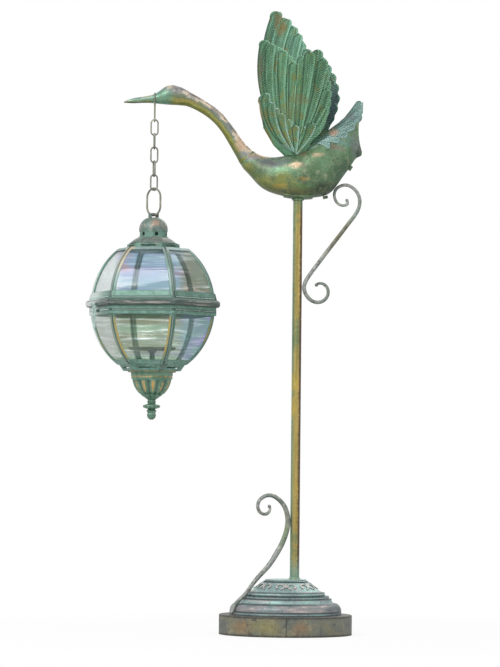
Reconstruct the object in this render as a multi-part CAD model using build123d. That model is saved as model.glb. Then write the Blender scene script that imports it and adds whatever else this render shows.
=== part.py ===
from build123d import *
import math
import os

# Floor candle lantern: a weighted stepped base, a tube pole with two scrolls, a long-necked bird
# with raised wings, and a hexagonal glazed globe that hangs from the beak on a chain.
# Millimetres, +Z up, origin at the centre of the underside of the plinth. The head points to -X.

# Clearances
FIT = 0.3
RUN = 0.1

# Plinth and ballast
PLINTH_RADIUS = 150.0
PLINTH_HEIGHT = 45.0
PLINTH_WALL = 2.0
PLINTH_EDGE = 2.5
PLINTH_SEAM_WIDTH = 1.0
PLINTH_SEAM_DEPTH = 0.8
BALLAST_THICKNESS = 24.0
BALLAST_RECESS_RADIUS = 15.0
BALLAST_RECESS_DEPTH = 13.0

# Stepped dome, radii and heights above the plinth
DOME_WALL = 1.6
DOME_RADIUS = 126.0
DOME_FOOT_HEIGHT = 6.0
TORUS_TOP_RADIUS = 116.0
TORUS_TOP_HEIGHT = 25.0
TORUS_BULGE = 3.5
COVE_TOP_RADIUS = 104.0
COVE_TOP_HEIGHT = 36.0
COVE_SAG = 3.0
LEDGE_RADIUS = 98.0
LEDGE_HEIGHT = 42.0
DOME_MOUTH_RADIUS = 76.0

# Cast collar with the scroll frieze, on the dome's ledge
COLLAR_WALL = 3.0
COLLAR_FOOT_RADIUS = 88.0
COLLAR_FOOT_HEIGHT = 8.0
FRIEZE_FOOT_RADIUS = 82.0
FRIEZE_TOP_RADIUS = 45.0
FRIEZE_HEIGHT = 27.0
COLLAR_RIM_RADIUS = 46.5
COLLAR_RIM_HEIGHT = 1.5
COLLAR_TOP_RADIUS = 41.0
COLLAR_TOP_RISE = 0.5
COLLAR_BEAD = 1.2
FRIEZE_MOTIFS = 7
FRIEZE_TURN = -90.0
FRIEZE_RELIEF = 1.8
CURL_RADIUS = 10.5
CURL_BAND = 3.2
CURL_SPACING = 12.8

# Pole and its tie bolt
POLE_RADIUS = 10.65
POLE_WALL = 2.3
POLE_LENGTH = 857.0
POLE_OFFSET = 19.7
POLE_WELD_RADIUS = 14.5
POLE_WELD_HEIGHT = 5.0
PLUG_LENGTH = 30.0
TIE_BOLT_RADIUS = 5.0
TIE_HEAD_RADIUS = 9.0
TIE_HEAD_HEIGHT = 6.5
TIE_FLANGE_RADIUS = 12.0
TIE_FLANGE_THICKNESS = 2.0

# Scrolls: distance out from the pole's axis, height above the plinth or below the pole's top
LOWER_SCROLL_TURN = 22.0
LOWER_SCROLL_PATH = [
    (153.0, 4.6),
    (147.5, 15.0),
    (141.0, 26.0),
    (130.0, 36.5),
    (117.0, 49.0),
    (97.5, 74.0),
    (78.5, 94.0),
    (60.0, 114.0),
    (45.0, 136.0),
    (32.0, 158.0),
    (22.5, 181.0),
    (17.4, 208.0),
    (20.0, 228.0),
    (28.0, 246.0),
    (42.0, 260.0),
    (60.0, 268.0),
    (78.0, 264.0),
    (90.0, 251.0),
    (89.0, 235.0),
    (76.5, 225.5),
    (63.5, 231.0),
    (63.0, 243.0),
]
LOWER_SCROLL_RADII = [4.2, 4.8, 6.2, 5.8, 4.4, 3.2]
UPPER_SCROLL_PATH = [
    (111.0, -4.0),
    (110.0, -12.5),
    (100.0, -16.0),
    (89.0, -9.5),
    (82.6, 4.5),
    (85.6, 20.0),
    (97.0, 28.6),
    (111.0, 30.6),
    (125.5, 23.5),
    (137.0, 8.5),
    (140.2, -9.0),
    (134.0, -30.0),
    (119.5, -51.0),
    (98.5, -79.0),
    (77.0, -107.5),
    (56.0, -135.5),
    (38.5, -159.5),
    (23.5, -181.0),
    (15.7, -202.0),
    (20.0, -218.0),
    (31.5, -231.0),
    (47.0, -236.0),
    (62.5, -230.0),
    (70.5, -213.5),
    (65.0, -198.5),
    (52.0, -192.5),
    (43.5, -196.5),
]
UPPER_SCROLL_RADII = [3.0, 3.8, 4.5, 4.7, 4.4, 3.2]
SCROLL_SECTIONS = 34
SCROLL_KNOB = 1.25

# Bird: back and belly points of each section from the pole's top, then half the width
BIRD_SECTIONS = [
    ((-396.0, 217.2), (-396.2, 212.8), 2.2),
    ((-374.9, 223.8), (-374.6, 212.2), 6.0),
    ((-351.1, 228.0), (-351.0, 213.2), 8.0),
    ((-334.2, 231.6), (-334.2, 213.0), 9.6),
    ((-320.5, 238.0), (-319.5, 211.6), 13.0),
    ((-307.0, 248.0), (-306.0, 210.6), 17.5),
    ((-290.0, 254.4), (-291.0, 209.4), 19.5),
    ((-268.0, 250.0), (-275.6, 209.0), 17.5),
    ((-238.2, 234.2), (-251.6, 205.8), 14.5),
    ((-208.7, 216.8), (-224.3, 193.4), 13.5),
    ((-180.2, 196.8), (-199.2, 176.2), 13.5),
    ((-156.5, 171.1), (-179.3, 155.4), 14.0),
    ((-138.1, 145.8), (-162.7, 130.8), 15.0),
    ((-121.3, 123.6), (-147.4, 104.6), 18.0),
    ((-102.5, 107.2), (-129.3, 74.0), 22.5),
    ((-79.8, 96.0), (-107.6, 48.3), 29.0),
    ((-54.0, 92.5), (-82.0, 22.5), 36.5),
    ((-26.0, 97.0), (-48.0, 8.0), 45.0),
    ((4.0, 108.0), (-8.0, 0.8), 52.0),
    ((33.0, 126.0), (30.0, 0.8), 54.5),
    ((58.0, 147.0), (70.0, 11.0), 51.0),
    ((80.0, 165.0), (96.0, 41.0), 41.0),
    ((101.0, 180.0), (117.5, 73.0), 28.0),
    ((121.0, 197.0), (131.0, 90.0), 15.5),
    ((146.0, 219.5), (143.5, 107.5), 2.6),
]
HEAD_HOLLOW_FROM = 5
NECK_FROM = 8
BODY_FROM = 14
SADDLE_FROM = 16
TAIL_FROM = 18
SADDLE_TO = 21
HEAD_SPACING = 13.0
BODY_SPACING = 22.0
BIRD_WALL = 2.0
REAR_HOLLOW = [(144.0, 107.0), (136.0, 150.0), (148.0, 214.0)]

# Wings: tip across and up from the root, width, and sideways bow of each feather
WING_SHEET = 1.8
WING_TIER = 0.9
WING_CURVE_RADIUS = 260.0
WING_CURVE_CENTRE = -15.0
WING_ROOT_HEIGHT = 97.0
NEAR_WING_LEAN = 25.0
NEAR_WING_ROOT = 29.0
FAR_WING_LEAN = 6.0
FAR_WING_ROOT = 27.0
FEATHER_BASE_SHARE = 0.3
FEATHER_SHOULDER = 0.86
NEAR_WEB = [
    (-28.0, 0.0),
    (-56.0, 26.0),
    (-76.0, 66.0),
    (-86.0, 110.0),
    (-88.0, 170.0),
    (-74.0, 236.0),
    (-20.0, 208.0),
    (36.0, 226.0),
    (40.0, 184.0),
    (54.0, 142.0),
    (46.0, 76.0),
    (30.0, 32.0),
    (12.0, -4.0),
]
NEAR_FEATHERS = {
    "primaries": [
        (-77.0, 266.0, 25.0, -31.0),
        (-63.0, 259.0, 24.0, -24.0),
        (-50.0, 253.0, 24.0, -17.0),
        (-37.0, 246.0, 23.0, -11.0),
        (-25.0, 234.0, 23.0, -6.0),
        (-13.0, 219.0, 23.0, -2.0),
    ],
    "secondaries": [
        (6.0, 233.0, 25.0, -2.0),
        (23.0, 243.0, 26.0, 2.0),
        (40.0, 246.0, 26.0, 6.0),
        (52.0, 224.0, 26.0, 8.0),
        (56.0, 199.0, 24.0, 8.0),
    ],
    "tertials": [
        (60.0, 174.0, 28.0, 8.0),
        (63.0, 152.0, 26.0, 8.0),
        (63.0, 131.0, 26.0, 8.0),
        (60.0, 110.0, 25.0, 7.0),
        (55.0, 88.0, 24.0, 6.0),
        (47.0, 66.0, 22.0, 4.0),
    ],
    "coverts": [
        (-75.0, 143.0, 24.0, -22.0),
        (-64.0, 123.0, 22.0, -16.0),
        (-53.0, 110.0, 20.0, -11.0),
        (-40.0, 98.0, 19.0, -7.0),
        (-25.0, 84.0, 20.0, -3.0),
        (-8.0, 71.0, 19.0, 0.0),
        (11.0, 68.0, 19.0, 2.0),
        (31.0, 76.0, 22.0, 4.0),
    ],
}
FAR_WEB = [
    (-30.0, 0.0),
    (-56.0, 24.0),
    (-80.0, 64.0),
    (-88.0, 112.0),
    (-86.0, 180.0),
    (-66.0, 260.0),
    (-48.0, 312.0),
    (4.0, 250.0),
    (44.0, 214.0),
    (70.0, 160.0),
    (70.0, 96.0),
    (46.0, 40.0),
    (12.0, -4.0),
]
FAR_FEATHERS = {
    "primaries": [
        (-48.0, 337.0, 28.0, -42.0),
        (-26.0, 320.0, 26.0, -30.0),
        (-11.0, 302.0, 24.0, -20.0),
        (0.0, 285.0, 22.0, -12.0),
        (8.0, 265.0, 22.0, -6.0),
    ],
    "secondaries": [
        (20.0, 250.0, 24.0, 0.0),
        (36.0, 240.0, 26.0, 4.0),
        (52.0, 230.0, 26.0, 8.0),
        (64.0, 212.0, 26.0, 10.0),
    ],
    "tertials": [
        (74.0, 192.0, 28.0, 12.0),
        (81.0, 168.0, 28.0, 12.0),
        (84.0, 144.0, 28.0, 12.0),
        (81.0, 121.0, 27.0, 11.0),
        (75.0, 99.0, 26.0, 9.0),
        (65.0, 76.0, 25.0, 6.0),
    ],
    "coverts": [
        (-78.0, 140.0, 26.0, -24.0),
        (-66.0, 128.0, 24.0, -17.0),
        (-53.0, 116.0, 22.0, -11.0),
        (-39.0, 104.0, 21.0, -7.0),
        (-23.0, 92.0, 21.0, -3.0),
        (-6.0, 84.0, 21.0, 0.0),
        (12.0, 82.0, 21.0, 2.0),
        (33.0, 86.0, 24.0, 5.0),
    ],
}
FAN_BASES = {
    "primaries": (-18.0, 12.0),
    "secondaries": (-4.0, 16.0),
    "tertials": (0.0, 22.0),
    "coverts": (-6.0, 2.0),
}
FAN_TIERS = {"primaries": 0, "secondaries": 1, "tertials": 0, "coverts": 2}

# Tail fan: tip across and up from the pole's top, width and bow
TAIL_BASE = (42.0, 124.0)
TAIL_FEATHERS = [
    (148.0, 222.0, 30.0, 8.0),
    (141.0, 193.0, 24.0, 4.0),
    (127.0, 168.0, 22.0, 1.0),
    (111.0, 147.0, 20.0, -2.0),
    (93.0, 129.0, 18.0, -4.0),
    (71.0, 114.0, 16.0, -3.0),
]
TAIL_RELIEF = 1.9
TAIL_SEAT = 0.2

# Saddle and tabs under the bird
SADDLE_THICKNESS = 3.0
SADDLE_PAD = 2.0
SADDLE_LENGTH = 66.0
SADDLE_WIDTH = 44.0
SADDLE_SPIGOT = 24.0
SEAM_TAB_POINTS = [(62.0, 2.5), (118.5, 69.0)]
SEAM_TAB_LENGTH = 11.0
SEAM_TAB_WIDTH = 12.0
SEAM_TAB_THICKNESS = 3.0
SEAM_TAB_TURNS = [12.0, 57.0]

# Chain
BEAK_LOOP_X = -326.7
BEAK_LOOP_RISE = 223.4
BEAK_GROOVE_RADIUS = 9.8
BEAK_GROOVE_WIDTH = 4.3
CHAIN_WIRE = 1.75
BEAK_LOOP_DROP = 52.0
BEAK_LOOP_TOE = 5.0
LINK_COUNT = 5
LINK_LENGTH = 38.5
LINK_WIDTH = 19.0
LINK_TWIST = 4.0
LINK_GAP = 0.2
RING_WIRE = 2.25
RING_LENGTH = 66.0
RING_WIDTH = 46.0
RING_YAW = -42.0

# Lantern: heights above the parting plane, radii at the corners of the hexagon
LANTERN_TURN = 20.7
HOOK_HEIGHT = 209.7
GLOBE_RADIUS = 141.0
GLOBE_HALF_HEIGHT = 157.0
GLOBE_CENTRE = 3.0
GLASS_THICKNESS = 2.5
GLASS_SIDE_GAP = 1.0
GLASS_TOP = 131.0
GLASS_BOTTOM = -124.0
GLASS_PARTING_GAP = 2.3
FRAME_SHEET = 1.6
FRAME_GAP = 0.3
RIB_MARGIN = 8.0
UPPER_WINDOW_FOOT = 34.0
UPPER_WINDOW_TOP = 128.0
CROWN_THICKNESS = 2.0
CROWN_BORE_RADIUS = 55.0
LOWER_WINDOW_TOP = -19.0
LOWER_WINDOW_FOOT = -119.0
LOWER_FRAME_FOOT = -129.0
PARTING_GAP = 0.3
UPPER_BAND_TOP = 32.0
UPPER_BAND_FOOT = 16.0
UPPER_BAND_TOP_RADIUS = 143.5
UPPER_BAND_FOOT_RADIUS = 148.0
FLANGE_RADIUS = 155.0
FLANGE_EDGE = 4.0
LOWER_BAND_DEPTH = 18.0
LOWER_BAND_RADIUS = 146.5
BAND_INNER_RADIUS = 141.6

# Cap
STRAP_THICKNESS = 2.0
STRAP_LENGTH = 25.0
STRAP_WIDTH = 9.0
STRAP_LEG = 3.0
CAP_RADIUS = 32.3
CAP_HEIGHT = 30.0
CAP_FLAT_RADIUS = 12.5
CAP_WALL = 1.5
VENT_RADIUS = 31.0
VENT_HEIGHT = 15.5
VENT_HOLES = 6
VENT_HOLE_RADIUS = 4.5
VENT_HOLE_TURN = -5.7
SKIRT_RADIUS = 52.0
SKIRT_HEIGHT = 14.5
SKIRT_NECK_RADIUS = 34.0
SKIRT_BEAD = 2.0
TOP_RING_RADIUS = 61.0
TOP_RING_HEIGHT = 10.0
TOP_RING_SLOT_LENGTH = 34.0
TOP_RING_SLOT_HEIGHT = 3.0

# Underside of the globe
FOOT_RING_RADIUS = 76.0
FOOT_RING_TAPER_RADIUS = 66.0
FOOT_RING_HEIGHT = 14.0
FOOT_SLOT_LENGTH = 40.0
FOOT_SLOT_HEIGHT = 3.0
CUP_RADIUS = 47.5
CUP_HEIGHT = 19.0
CUP_RIM_RADIUS = 54.0
CUP_RIM_HEIGHT = 3.0
CUP_BEAD = 1.5
BOWL_RADIUS = 44.0
BOWL_HEIGHT = 46.0
BOWL_NECK_RADIUS = 9.0
FLUTES = 12
FLUTE_RADIUS = 9.0
FINIAL_PROFILE = [
    (8.0, 0.0),
    (10.0, -4.0),
    (8.5, -9.0),
    (19.0, -12.5),
    (20.0, -15.0),
    (18.0, -18.0),
    (8.0, -21.0),
    (11.5, -25.0),
    (9.0, -30.0),
    (10.4, -35.0),
    (8.5, -41.0),
    (3.9, -45.0),
]
ROD_RADIUS = 3.0
ROD_REACH = 4.0
DISH_RADIUS = 55.0
DISH_HEIGHT = 6.0
DISH_WALL = 1.2
DISH_LEVEL = -96.0
DISH_WELL_RADIUS = 9.0
DISH_WELL_DEPTH = 5.0
STEM_RADIUS = 6.0
STEM_FOOT_RADIUS = 14.0
STEM_FOOT_HEIGHT = 4.0
FOOT_PLATE_THICKNESS = 2.0
ROD_HEAD_RADIUS = 6.0
ROD_HEAD_HEIGHT = 4.0

# Hinge at the back and latch at the front
HINGE_FACE = 90.0
HINGE_OUT = 139.0
HINGE_DROP = 5.0
KNUCKLE_RADIUS = 3.4
HINGE_PIN_RADIUS = 1.5
KNUCKLE_LENGTH = 12.0
LEAF_THICKNESS = 2.0
LEAF_HEIGHT = 12.0
LATCH_FACE = -90.0
LATCH_OUT = 138.6
LATCH_RISE = 5.0
HASP_WIDTH = 22.0
HASP_LENGTH = 56.0
HASP_THICKNESS = 2.0
HASP_SLOT_WIDTH = 7.0
HASP_SLOT_TOP = -9.0
HASP_SLOT_FOOT = -44.0
STUD_RADIUS = 2.5
STUD_DEPTH = 10.0
STUD_BITE = 1.0

# Places worked out from the sizes above
DOME_SEAT = PLINTH_HEIGHT
COLLAR_SEAT = DOME_SEAT + LEDGE_HEIGHT
FRIEZE_FOOT = COLLAR_SEAT + COLLAR_FOOT_HEIGHT
FRIEZE_TOP = FRIEZE_FOOT + FRIEZE_HEIGHT
POLE_FOOT = FRIEZE_TOP + COLLAR_RIM_HEIGHT + COLLAR_TOP_RISE
POLE_TOP = POLE_FOOT + POLE_LENGTH
SADDLE_RISE = SADDLE_THICKNESS + SADDLE_PAD
BIRD_ORIGIN = Pos(POLE_OFFSET, 0, POLE_TOP + SADDLE_RISE)
BEAK_PIVOT = (POLE_OFFSET + BEAK_LOOP_X, POLE_TOP + SADDLE_RISE + BEAK_LOOP_RISE)
CAP_TOP = HOOK_HEIGHT - RING_WIRE - LINK_GAP - STRAP_LEG
CAP_FOOT = CAP_TOP - CAP_HEIGHT
VENT_FOOT = CAP_FOOT - VENT_HEIGHT
SKIRT_FOOT = VENT_FOOT - SKIRT_HEIGHT
TOP_RING_FOOT = SKIRT_FOOT - TOP_RING_HEIGHT
UPPER_FRAME_TOP = TOP_RING_FOOT
FOOT_RING_TOP = LOWER_FRAME_FOOT
FOOT_RING_FOOT = FOOT_RING_TOP - FOOT_RING_HEIGHT
CUP_TOP = FOOT_RING_FOOT
CUP_FOOT = CUP_TOP - CUP_HEIGHT
BOWL_FOOT = CUP_FOOT - BOWL_HEIGHT
FINIAL_TOP = BOWL_FOOT


def turned(points, turn=360):
    """Solid of revolution about Z from (radius, height) points."""
    outline = Polyline([(radius, 0, height) for radius, height in points], close=True)
    return revolve(make_face(outline), Axis.Z, turn)


def plate_between(points, half_depth):
    """Upright plate in the X Z plane, as thick on each side of it."""
    outline = Polyline([(x, 0, z) for x, z in points], close=True)
    return extrude(make_face(outline), half_depth, both=True)


def hexagon(corner_radius):
    """Hexagon with a corner on X, in the lantern's own turn."""
    return RegularPolygon(corner_radius, 6)


def around(count, first=0.0):
    """Evenly spaced angles of a full turn."""
    return [first + 360.0 * step / count for step in range(count)]


def along(values, share):
    """Value at a share of the way through an evenly spaced list."""
    place = share * (len(values) - 1)
    index = min(int(place), len(values) - 2)
    return values[index] + (values[index + 1] - values[index]) * (place - index)


# Base


def make_plinth():
    shell = Cylinder(PLINTH_RADIUS, PLINTH_HEIGHT, align=(Align.CENTER, Align.CENTER, Align.MIN))
    shell = fillet(shell.edges().group_by(Axis.Z)[-1], PLINTH_EDGE)
    cavity = Cylinder(
        PLINTH_RADIUS - PLINTH_WALL,
        PLINTH_HEIGHT - PLINTH_WALL,
        align=(Align.CENTER, Align.CENTER, Align.MIN),
    )
    bolt_hole = Pos(POLE_OFFSET, 0, PLINTH_HEIGHT) * Cylinder(TIE_BOLT_RADIUS + FIT, 3 * PLINTH_WALL)
    seam = Pos(0, -PLINTH_RADIUS, PLINTH_HEIGHT / 2) * Box(
        PLINTH_SEAM_WIDTH, 2 * PLINTH_SEAM_DEPTH, PLINTH_HEIGHT - 2 * PLINTH_EDGE
    )
    return shell - cavity - bolt_hole - seam


def make_ballast():
    disc = Cylinder(
        PLINTH_RADIUS - PLINTH_WALL - FIT,
        BALLAST_THICKNESS,
        align=(Align.CENTER, Align.CENTER, Align.MIN),
    )
    recess = Pos(POLE_OFFSET, 0, 0) * Cylinder(
        BALLAST_RECESS_RADIUS,
        BALLAST_RECESS_DEPTH,
        align=(Align.CENTER, Align.CENTER, Align.MIN),
    )
    bolt_hole = Pos(POLE_OFFSET, 0, 0) * Cylinder(TIE_BOLT_RADIUS + FIT, 3 * BALLAST_THICKNESS)
    return disc - recess - bolt_hole


def make_dome():
    wall = DOME_WALL
    torus_mid = (
        (DOME_RADIUS + TORUS_TOP_RADIUS) / 2 + TORUS_BULGE,
        (DOME_FOOT_HEIGHT + TORUS_TOP_HEIGHT) / 2,
    )
    cove_mid = (
        (TORUS_TOP_RADIUS + COVE_TOP_RADIUS) / 2 - COVE_SAG,
        (TORUS_TOP_HEIGHT + COVE_TOP_HEIGHT) / 2 - COVE_SAG,
    )

    def profile(inset):
        foot = (DOME_RADIUS - inset, 0)
        torus_foot = (DOME_RADIUS - inset, DOME_FOOT_HEIGHT)
        torus_top = (TORUS_TOP_RADIUS - inset, TORUS_TOP_HEIGHT - inset)
        cove_foot = (TORUS_TOP_RADIUS - DOME_WALL - inset, TORUS_TOP_HEIGHT - inset)
        cove_top = (COVE_TOP_RADIUS - inset, COVE_TOP_HEIGHT - inset)
        ledge_foot = (LEDGE_RADIUS - inset, COVE_TOP_HEIGHT - inset)
        ledge_top = (LEDGE_RADIUS - inset, LEDGE_HEIGHT - inset)
        mouth = (DOME_MOUTH_RADIUS, LEDGE_HEIGHT - inset)
        bulge = (torus_mid[0] - inset, torus_mid[1])
        sag = (cove_mid[0] - inset, cove_mid[1] - inset)
        lines = Polyline([foot, torus_foot])
        lines += ThreePointArc(torus_foot, bulge, torus_top)
        lines += Line(torus_top, cove_foot)
        lines += ThreePointArc(cove_foot, sag, cove_top)
        lines += Polyline([cove_top, ledge_foot, ledge_top, mouth])
        return lines, foot, mouth

    outer, outer_foot, outer_mouth = profile(0)
    inner, inner_foot, inner_mouth = profile(wall)
    closing = Line(outer_foot, inner_foot) + Line(outer_mouth, inner_mouth)
    wall_face = make_face(Plane.XZ * (outer + inner + closing))
    return Pos(0, 0, DOME_SEAT) * revolve(wall_face, Axis.Z)


def frieze_motif():
    """Two curls back to back with a bud between them, flat on X Y."""
    curl = Circle(CURL_RADIUS) - Circle(CURL_RADIUS - CURL_BAND)
    gap = Pos(CURL_RADIUS, -CURL_RADIUS) * Rectangle(2 * CURL_RADIUS, 2 * CURL_RADIUS)
    eye = Pos(CURL_RADIUS - CURL_BAND, -CURL_BAND / 2) * Circle(CURL_BAND)
    hook = (curl - gap) + eye
    bud = Pos(0, CURL_BAND) * Ellipse(CURL_BAND * 0.7, CURL_RADIUS)
    right = Pos(CURL_SPACING, 0) * hook
    left = mirror(right, Plane.YZ)
    return [right, left, bud]


def make_collar():
    rim_top = FRIEZE_TOP - COLLAR_SEAT + COLLAR_RIM_HEIGHT
    cone_foot = (FRIEZE_FOOT_RADIUS, COLLAR_FOOT_HEIGHT)
    cone_top = (FRIEZE_TOP_RADIUS, COLLAR_FOOT_HEIGHT + FRIEZE_HEIGHT)
    bead_share = 3 * COLLAR_BEAD / FRIEZE_HEIGHT
    bead_foot = (
        cone_top[0] + (cone_foot[0] - cone_top[0]) * bead_share,
        cone_top[1] - FRIEZE_HEIGHT * bead_share,
    )
    body = turned(
        [
            (COLLAR_FOOT_RADIUS - 2 * COLLAR_WALL, 0),
            (COLLAR_FOOT_RADIUS, 0),
            (COLLAR_FOOT_RADIUS + COLLAR_WALL / 2, COLLAR_FOOT_HEIGHT / 2),
            (COLLAR_FOOT_RADIUS, COLLAR_FOOT_HEIGHT),
            cone_foot,
            bead_foot,
            (bead_foot[0] + COLLAR_BEAD, bead_foot[1] + COLLAR_BEAD),
            (bead_foot[0] - COLLAR_BEAD, bead_foot[1] + 2 * COLLAR_BEAD),
            cone_top,
            (COLLAR_RIM_RADIUS, cone_top[1]),
            (COLLAR_RIM_RADIUS, rim_top),
            (COLLAR_TOP_RADIUS, rim_top + COLLAR_TOP_RISE),
            (0, rim_top + COLLAR_TOP_RISE),
            (0, rim_top + COLLAR_TOP_RISE - COLLAR_WALL),
            (FRIEZE_TOP_RADIUS - COLLAR_WALL, rim_top + COLLAR_TOP_RISE - COLLAR_WALL),
            (FRIEZE_TOP_RADIUS - COLLAR_WALL, cone_top[1] - COLLAR_WALL),
            (FRIEZE_FOOT_RADIUS - COLLAR_WALL, COLLAR_FOOT_HEIGHT - COLLAR_WALL),
        ]
    )
    relief_zone = turned(
        [
            (FRIEZE_FOOT_RADIUS - COLLAR_WALL / 2, COLLAR_FOOT_HEIGHT - COLLAR_WALL / 2),
            (FRIEZE_FOOT_RADIUS + FRIEZE_RELIEF, COLLAR_FOOT_HEIGHT + FRIEZE_RELIEF / 2),
            (FRIEZE_TOP_RADIUS + FRIEZE_RELIEF, cone_top[1] + FRIEZE_RELIEF / 2),
            (FRIEZE_TOP_RADIUS - COLLAR_WALL / 2, cone_top[1] - COLLAR_WALL / 2),
        ]
    )
    middle = ((cone_foot[0] + cone_top[0]) / 2, 0, (cone_foot[1] + cone_top[1]) / 2)
    slope = Plane(origin=middle, x_dir=(0, 1, 0), z_dir=(FRIEZE_HEIGHT, 0, cone_foot[0] - cone_top[0]))
    prisms = [extrude(slope * shape, CURL_RADIUS, both=True) for shape in frieze_motif()]
    ornament = [Rot(0, 0, angle) * prism for angle in around(FRIEZE_MOTIFS, FRIEZE_TURN) for prism in prisms]
    reliefs = [prism & relief_zone for prism in ornament]
    hole = Pos(POLE_OFFSET, 0, 0) * Cylinder(TIE_BOLT_RADIUS + FIT, 4 * rim_top)
    return Pos(0, 0, COLLAR_SEAT) * (body.fuse(*reliefs) - hole)


# Pole and tie bolt


def make_pole():
    tube = Cylinder(POLE_RADIUS, POLE_LENGTH, align=(Align.CENTER, Align.CENTER, Align.MIN))
    weld = Cone(
        POLE_WELD_RADIUS,
        POLE_RADIUS,
        POLE_WELD_HEIGHT,
        align=(Align.CENTER, Align.CENTER, Align.MIN),
    )
    bore = Cylinder(POLE_RADIUS - POLE_WALL, 3 * POLE_LENGTH)
    return Pos(POLE_OFFSET, 0, POLE_FOOT) * (tube + weld - bore)


def make_pole_plug():
    plug = Cylinder(
        POLE_RADIUS - POLE_WALL - RUN,
        PLUG_LENGTH,
        align=(Align.CENTER, Align.CENTER, Align.MIN),
    )
    bore = Cylinder(TIE_BOLT_RADIUS + RUN, 3 * PLUG_LENGTH)
    return Pos(POLE_OFFSET, 0, POLE_FOOT) * (plug - bore)


def make_tie_bolt():
    """Flanged hex bolt up through the base into the pole's plug."""
    head_top = BALLAST_RECESS_DEPTH
    flange = Pos(0, 0, head_top - TIE_FLANGE_THICKNESS) * Cylinder(
        TIE_FLANGE_RADIUS,
        TIE_FLANGE_THICKNESS,
        align=(Align.CENTER, Align.CENTER, Align.MIN),
    )
    head_foot = head_top - TIE_FLANGE_THICKNESS - TIE_HEAD_HEIGHT
    head = Pos(0, 0, head_foot) * extrude(hexagon(TIE_HEAD_RADIUS), TIE_HEAD_HEIGHT)
    shank_top = POLE_FOOT + PLUG_LENGTH
    shank = Pos(0, 0, head_top) * Cylinder(
        TIE_BOLT_RADIUS,
        shank_top - head_top,
        align=(Align.CENTER, Align.CENTER, Align.MIN),
    )
    return Pos(POLE_OFFSET, 0, 0) * (head + flange + shank)


# Scrolls


def scroll_bar(points, radii):
    """Round bar of changing thickness along a smooth path, with a knob at each curled end."""
    path = Spline([(distance, 0, height) for distance, height in points])
    sections = []
    for step in range(SCROLL_SECTIONS):
        share = step / (SCROLL_SECTIONS - 1)
        plane = Plane(origin=path @ share, x_dir=(0, 1, 0), z_dir=path % share)
        sections.append(plane * Circle(along(radii, share)))
    return loft(sections), path


def make_lower_scroll():
    bar, path = scroll_bar(LOWER_SCROLL_PATH, LOWER_SCROLL_RADII)
    knob = Pos(path @ 1) * Sphere(LOWER_SCROLL_RADII[-1] * SCROLL_KNOB)
    outward = Rot(0, 0, 180 + LOWER_SCROLL_TURN)
    return Pos(POLE_OFFSET, 0, PLINTH_HEIGHT) * outward * (bar + knob)


def make_upper_scroll():
    bar, path = scroll_bar(UPPER_SCROLL_PATH, UPPER_SCROLL_RADII)
    first = Pos(path @ 0) * Sphere(UPPER_SCROLL_RADII[0] * SCROLL_KNOB)
    last = Pos(path @ 1) * Sphere(UPPER_SCROLL_RADII[-1] * SCROLL_KNOB)
    return BIRD_ORIGIN * (bar + first + last)


# Bird


def cross_section(back, belly, half_width, extra):
    """Oval section square to the bird's line, drawn through points so that all start alike."""
    rise = (back[0] - belly[0], back[1] - belly[1])
    height = math.hypot(rise[0], rise[1])
    centre = ((back[0] + belly[0]) / 2, 0, (back[1] + belly[1]) / 2)
    plane = Plane(origin=centre, x_dir=(0, 1, 0), z_dir=(rise[1] / height, 0, -rise[0] / height))
    across = half_width + extra
    up = height / 2 + extra
    points = []
    for angle in around(16):
        turn = math.radians(angle)
        points.append((across * math.cos(turn), up * math.sin(turn)))
    return plane * make_face(Spline(points, periodic=True))


def smooth_value(knots, values, place):
    """Value on a smooth curve through values at uneven knots."""
    index = max(step for step in range(len(knots) - 1) if knots[step] <= place)

    def slope(step):
        low = max(step - 1, 0)
        high = min(step + 1, len(knots) - 1)
        return (values[high] - values[low]) / (knots[high] - knots[low])

    span = knots[index + 1] - knots[index]
    share = (place - knots[index]) / span
    rise = values[index + 1] - values[index]
    start = slope(index) * span
    end = slope(index + 1) * span
    bend = share * (1 - share)
    return values[index] + rise * share + bend * ((1 - share) * (start - rise) - share * (end - rise))


def bird_section_places():
    """Distance along the bird's middle line to each section of the table."""
    places = [0.0]
    for (back, belly, _), (last_back, last_belly, _) in zip(BIRD_SECTIONS[1:], BIRD_SECTIONS):
        across = (back[0] + belly[0] - last_back[0] - last_belly[0]) / 2
        up = (back[1] + belly[1] - last_back[1] - last_belly[1]) / 2
        places.append(places[-1] + math.hypot(across, up))
    return places


def bird_between(first, last, extra=0.0, spacing=BODY_SPACING):
    """Solid of the bird between two sections of the table, thicker by extra all round."""
    knots = bird_section_places()
    count = max(4, round((knots[last] - knots[first]) / spacing))
    columns = [
        [section[0][0] for section in BIRD_SECTIONS],
        [section[0][1] for section in BIRD_SECTIONS],
        [section[1][0] for section in BIRD_SECTIONS],
        [section[1][1] for section in BIRD_SECTIONS],
        [section[2] for section in BIRD_SECTIONS],
    ]
    outlines = []
    for step in range(count + 1):
        place = knots[first] + (knots[last] - knots[first]) * step / count
        back_x, back_z, belly_x, belly_z, width = [
            smooth_value(knots, column, place) for column in columns
        ]
        outlines.append(cross_section((back_x, back_z), (belly_x, belly_z), width, extra))
    return loft(outlines)


def make_head():
    groove_place = Pos(BEAK_LOOP_X, 0, BEAK_LOOP_RISE) * Rot(0, 90, 0)
    groove = Cylinder(4 * BEAK_GROOVE_RADIUS, BEAK_GROOVE_WIDTH) - Cylinder(
        BEAK_GROOVE_RADIUS, 2 * BEAK_GROOVE_WIDTH
    )
    hollow = bird_between(HEAD_HOLLOW_FROM, NECK_FROM, -BIRD_WALL, HEAD_SPACING)
    head = bird_between(0, NECK_FROM, 0, HEAD_SPACING)
    return BIRD_ORIGIN * (head - groove_place * groove - hollow)


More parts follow.
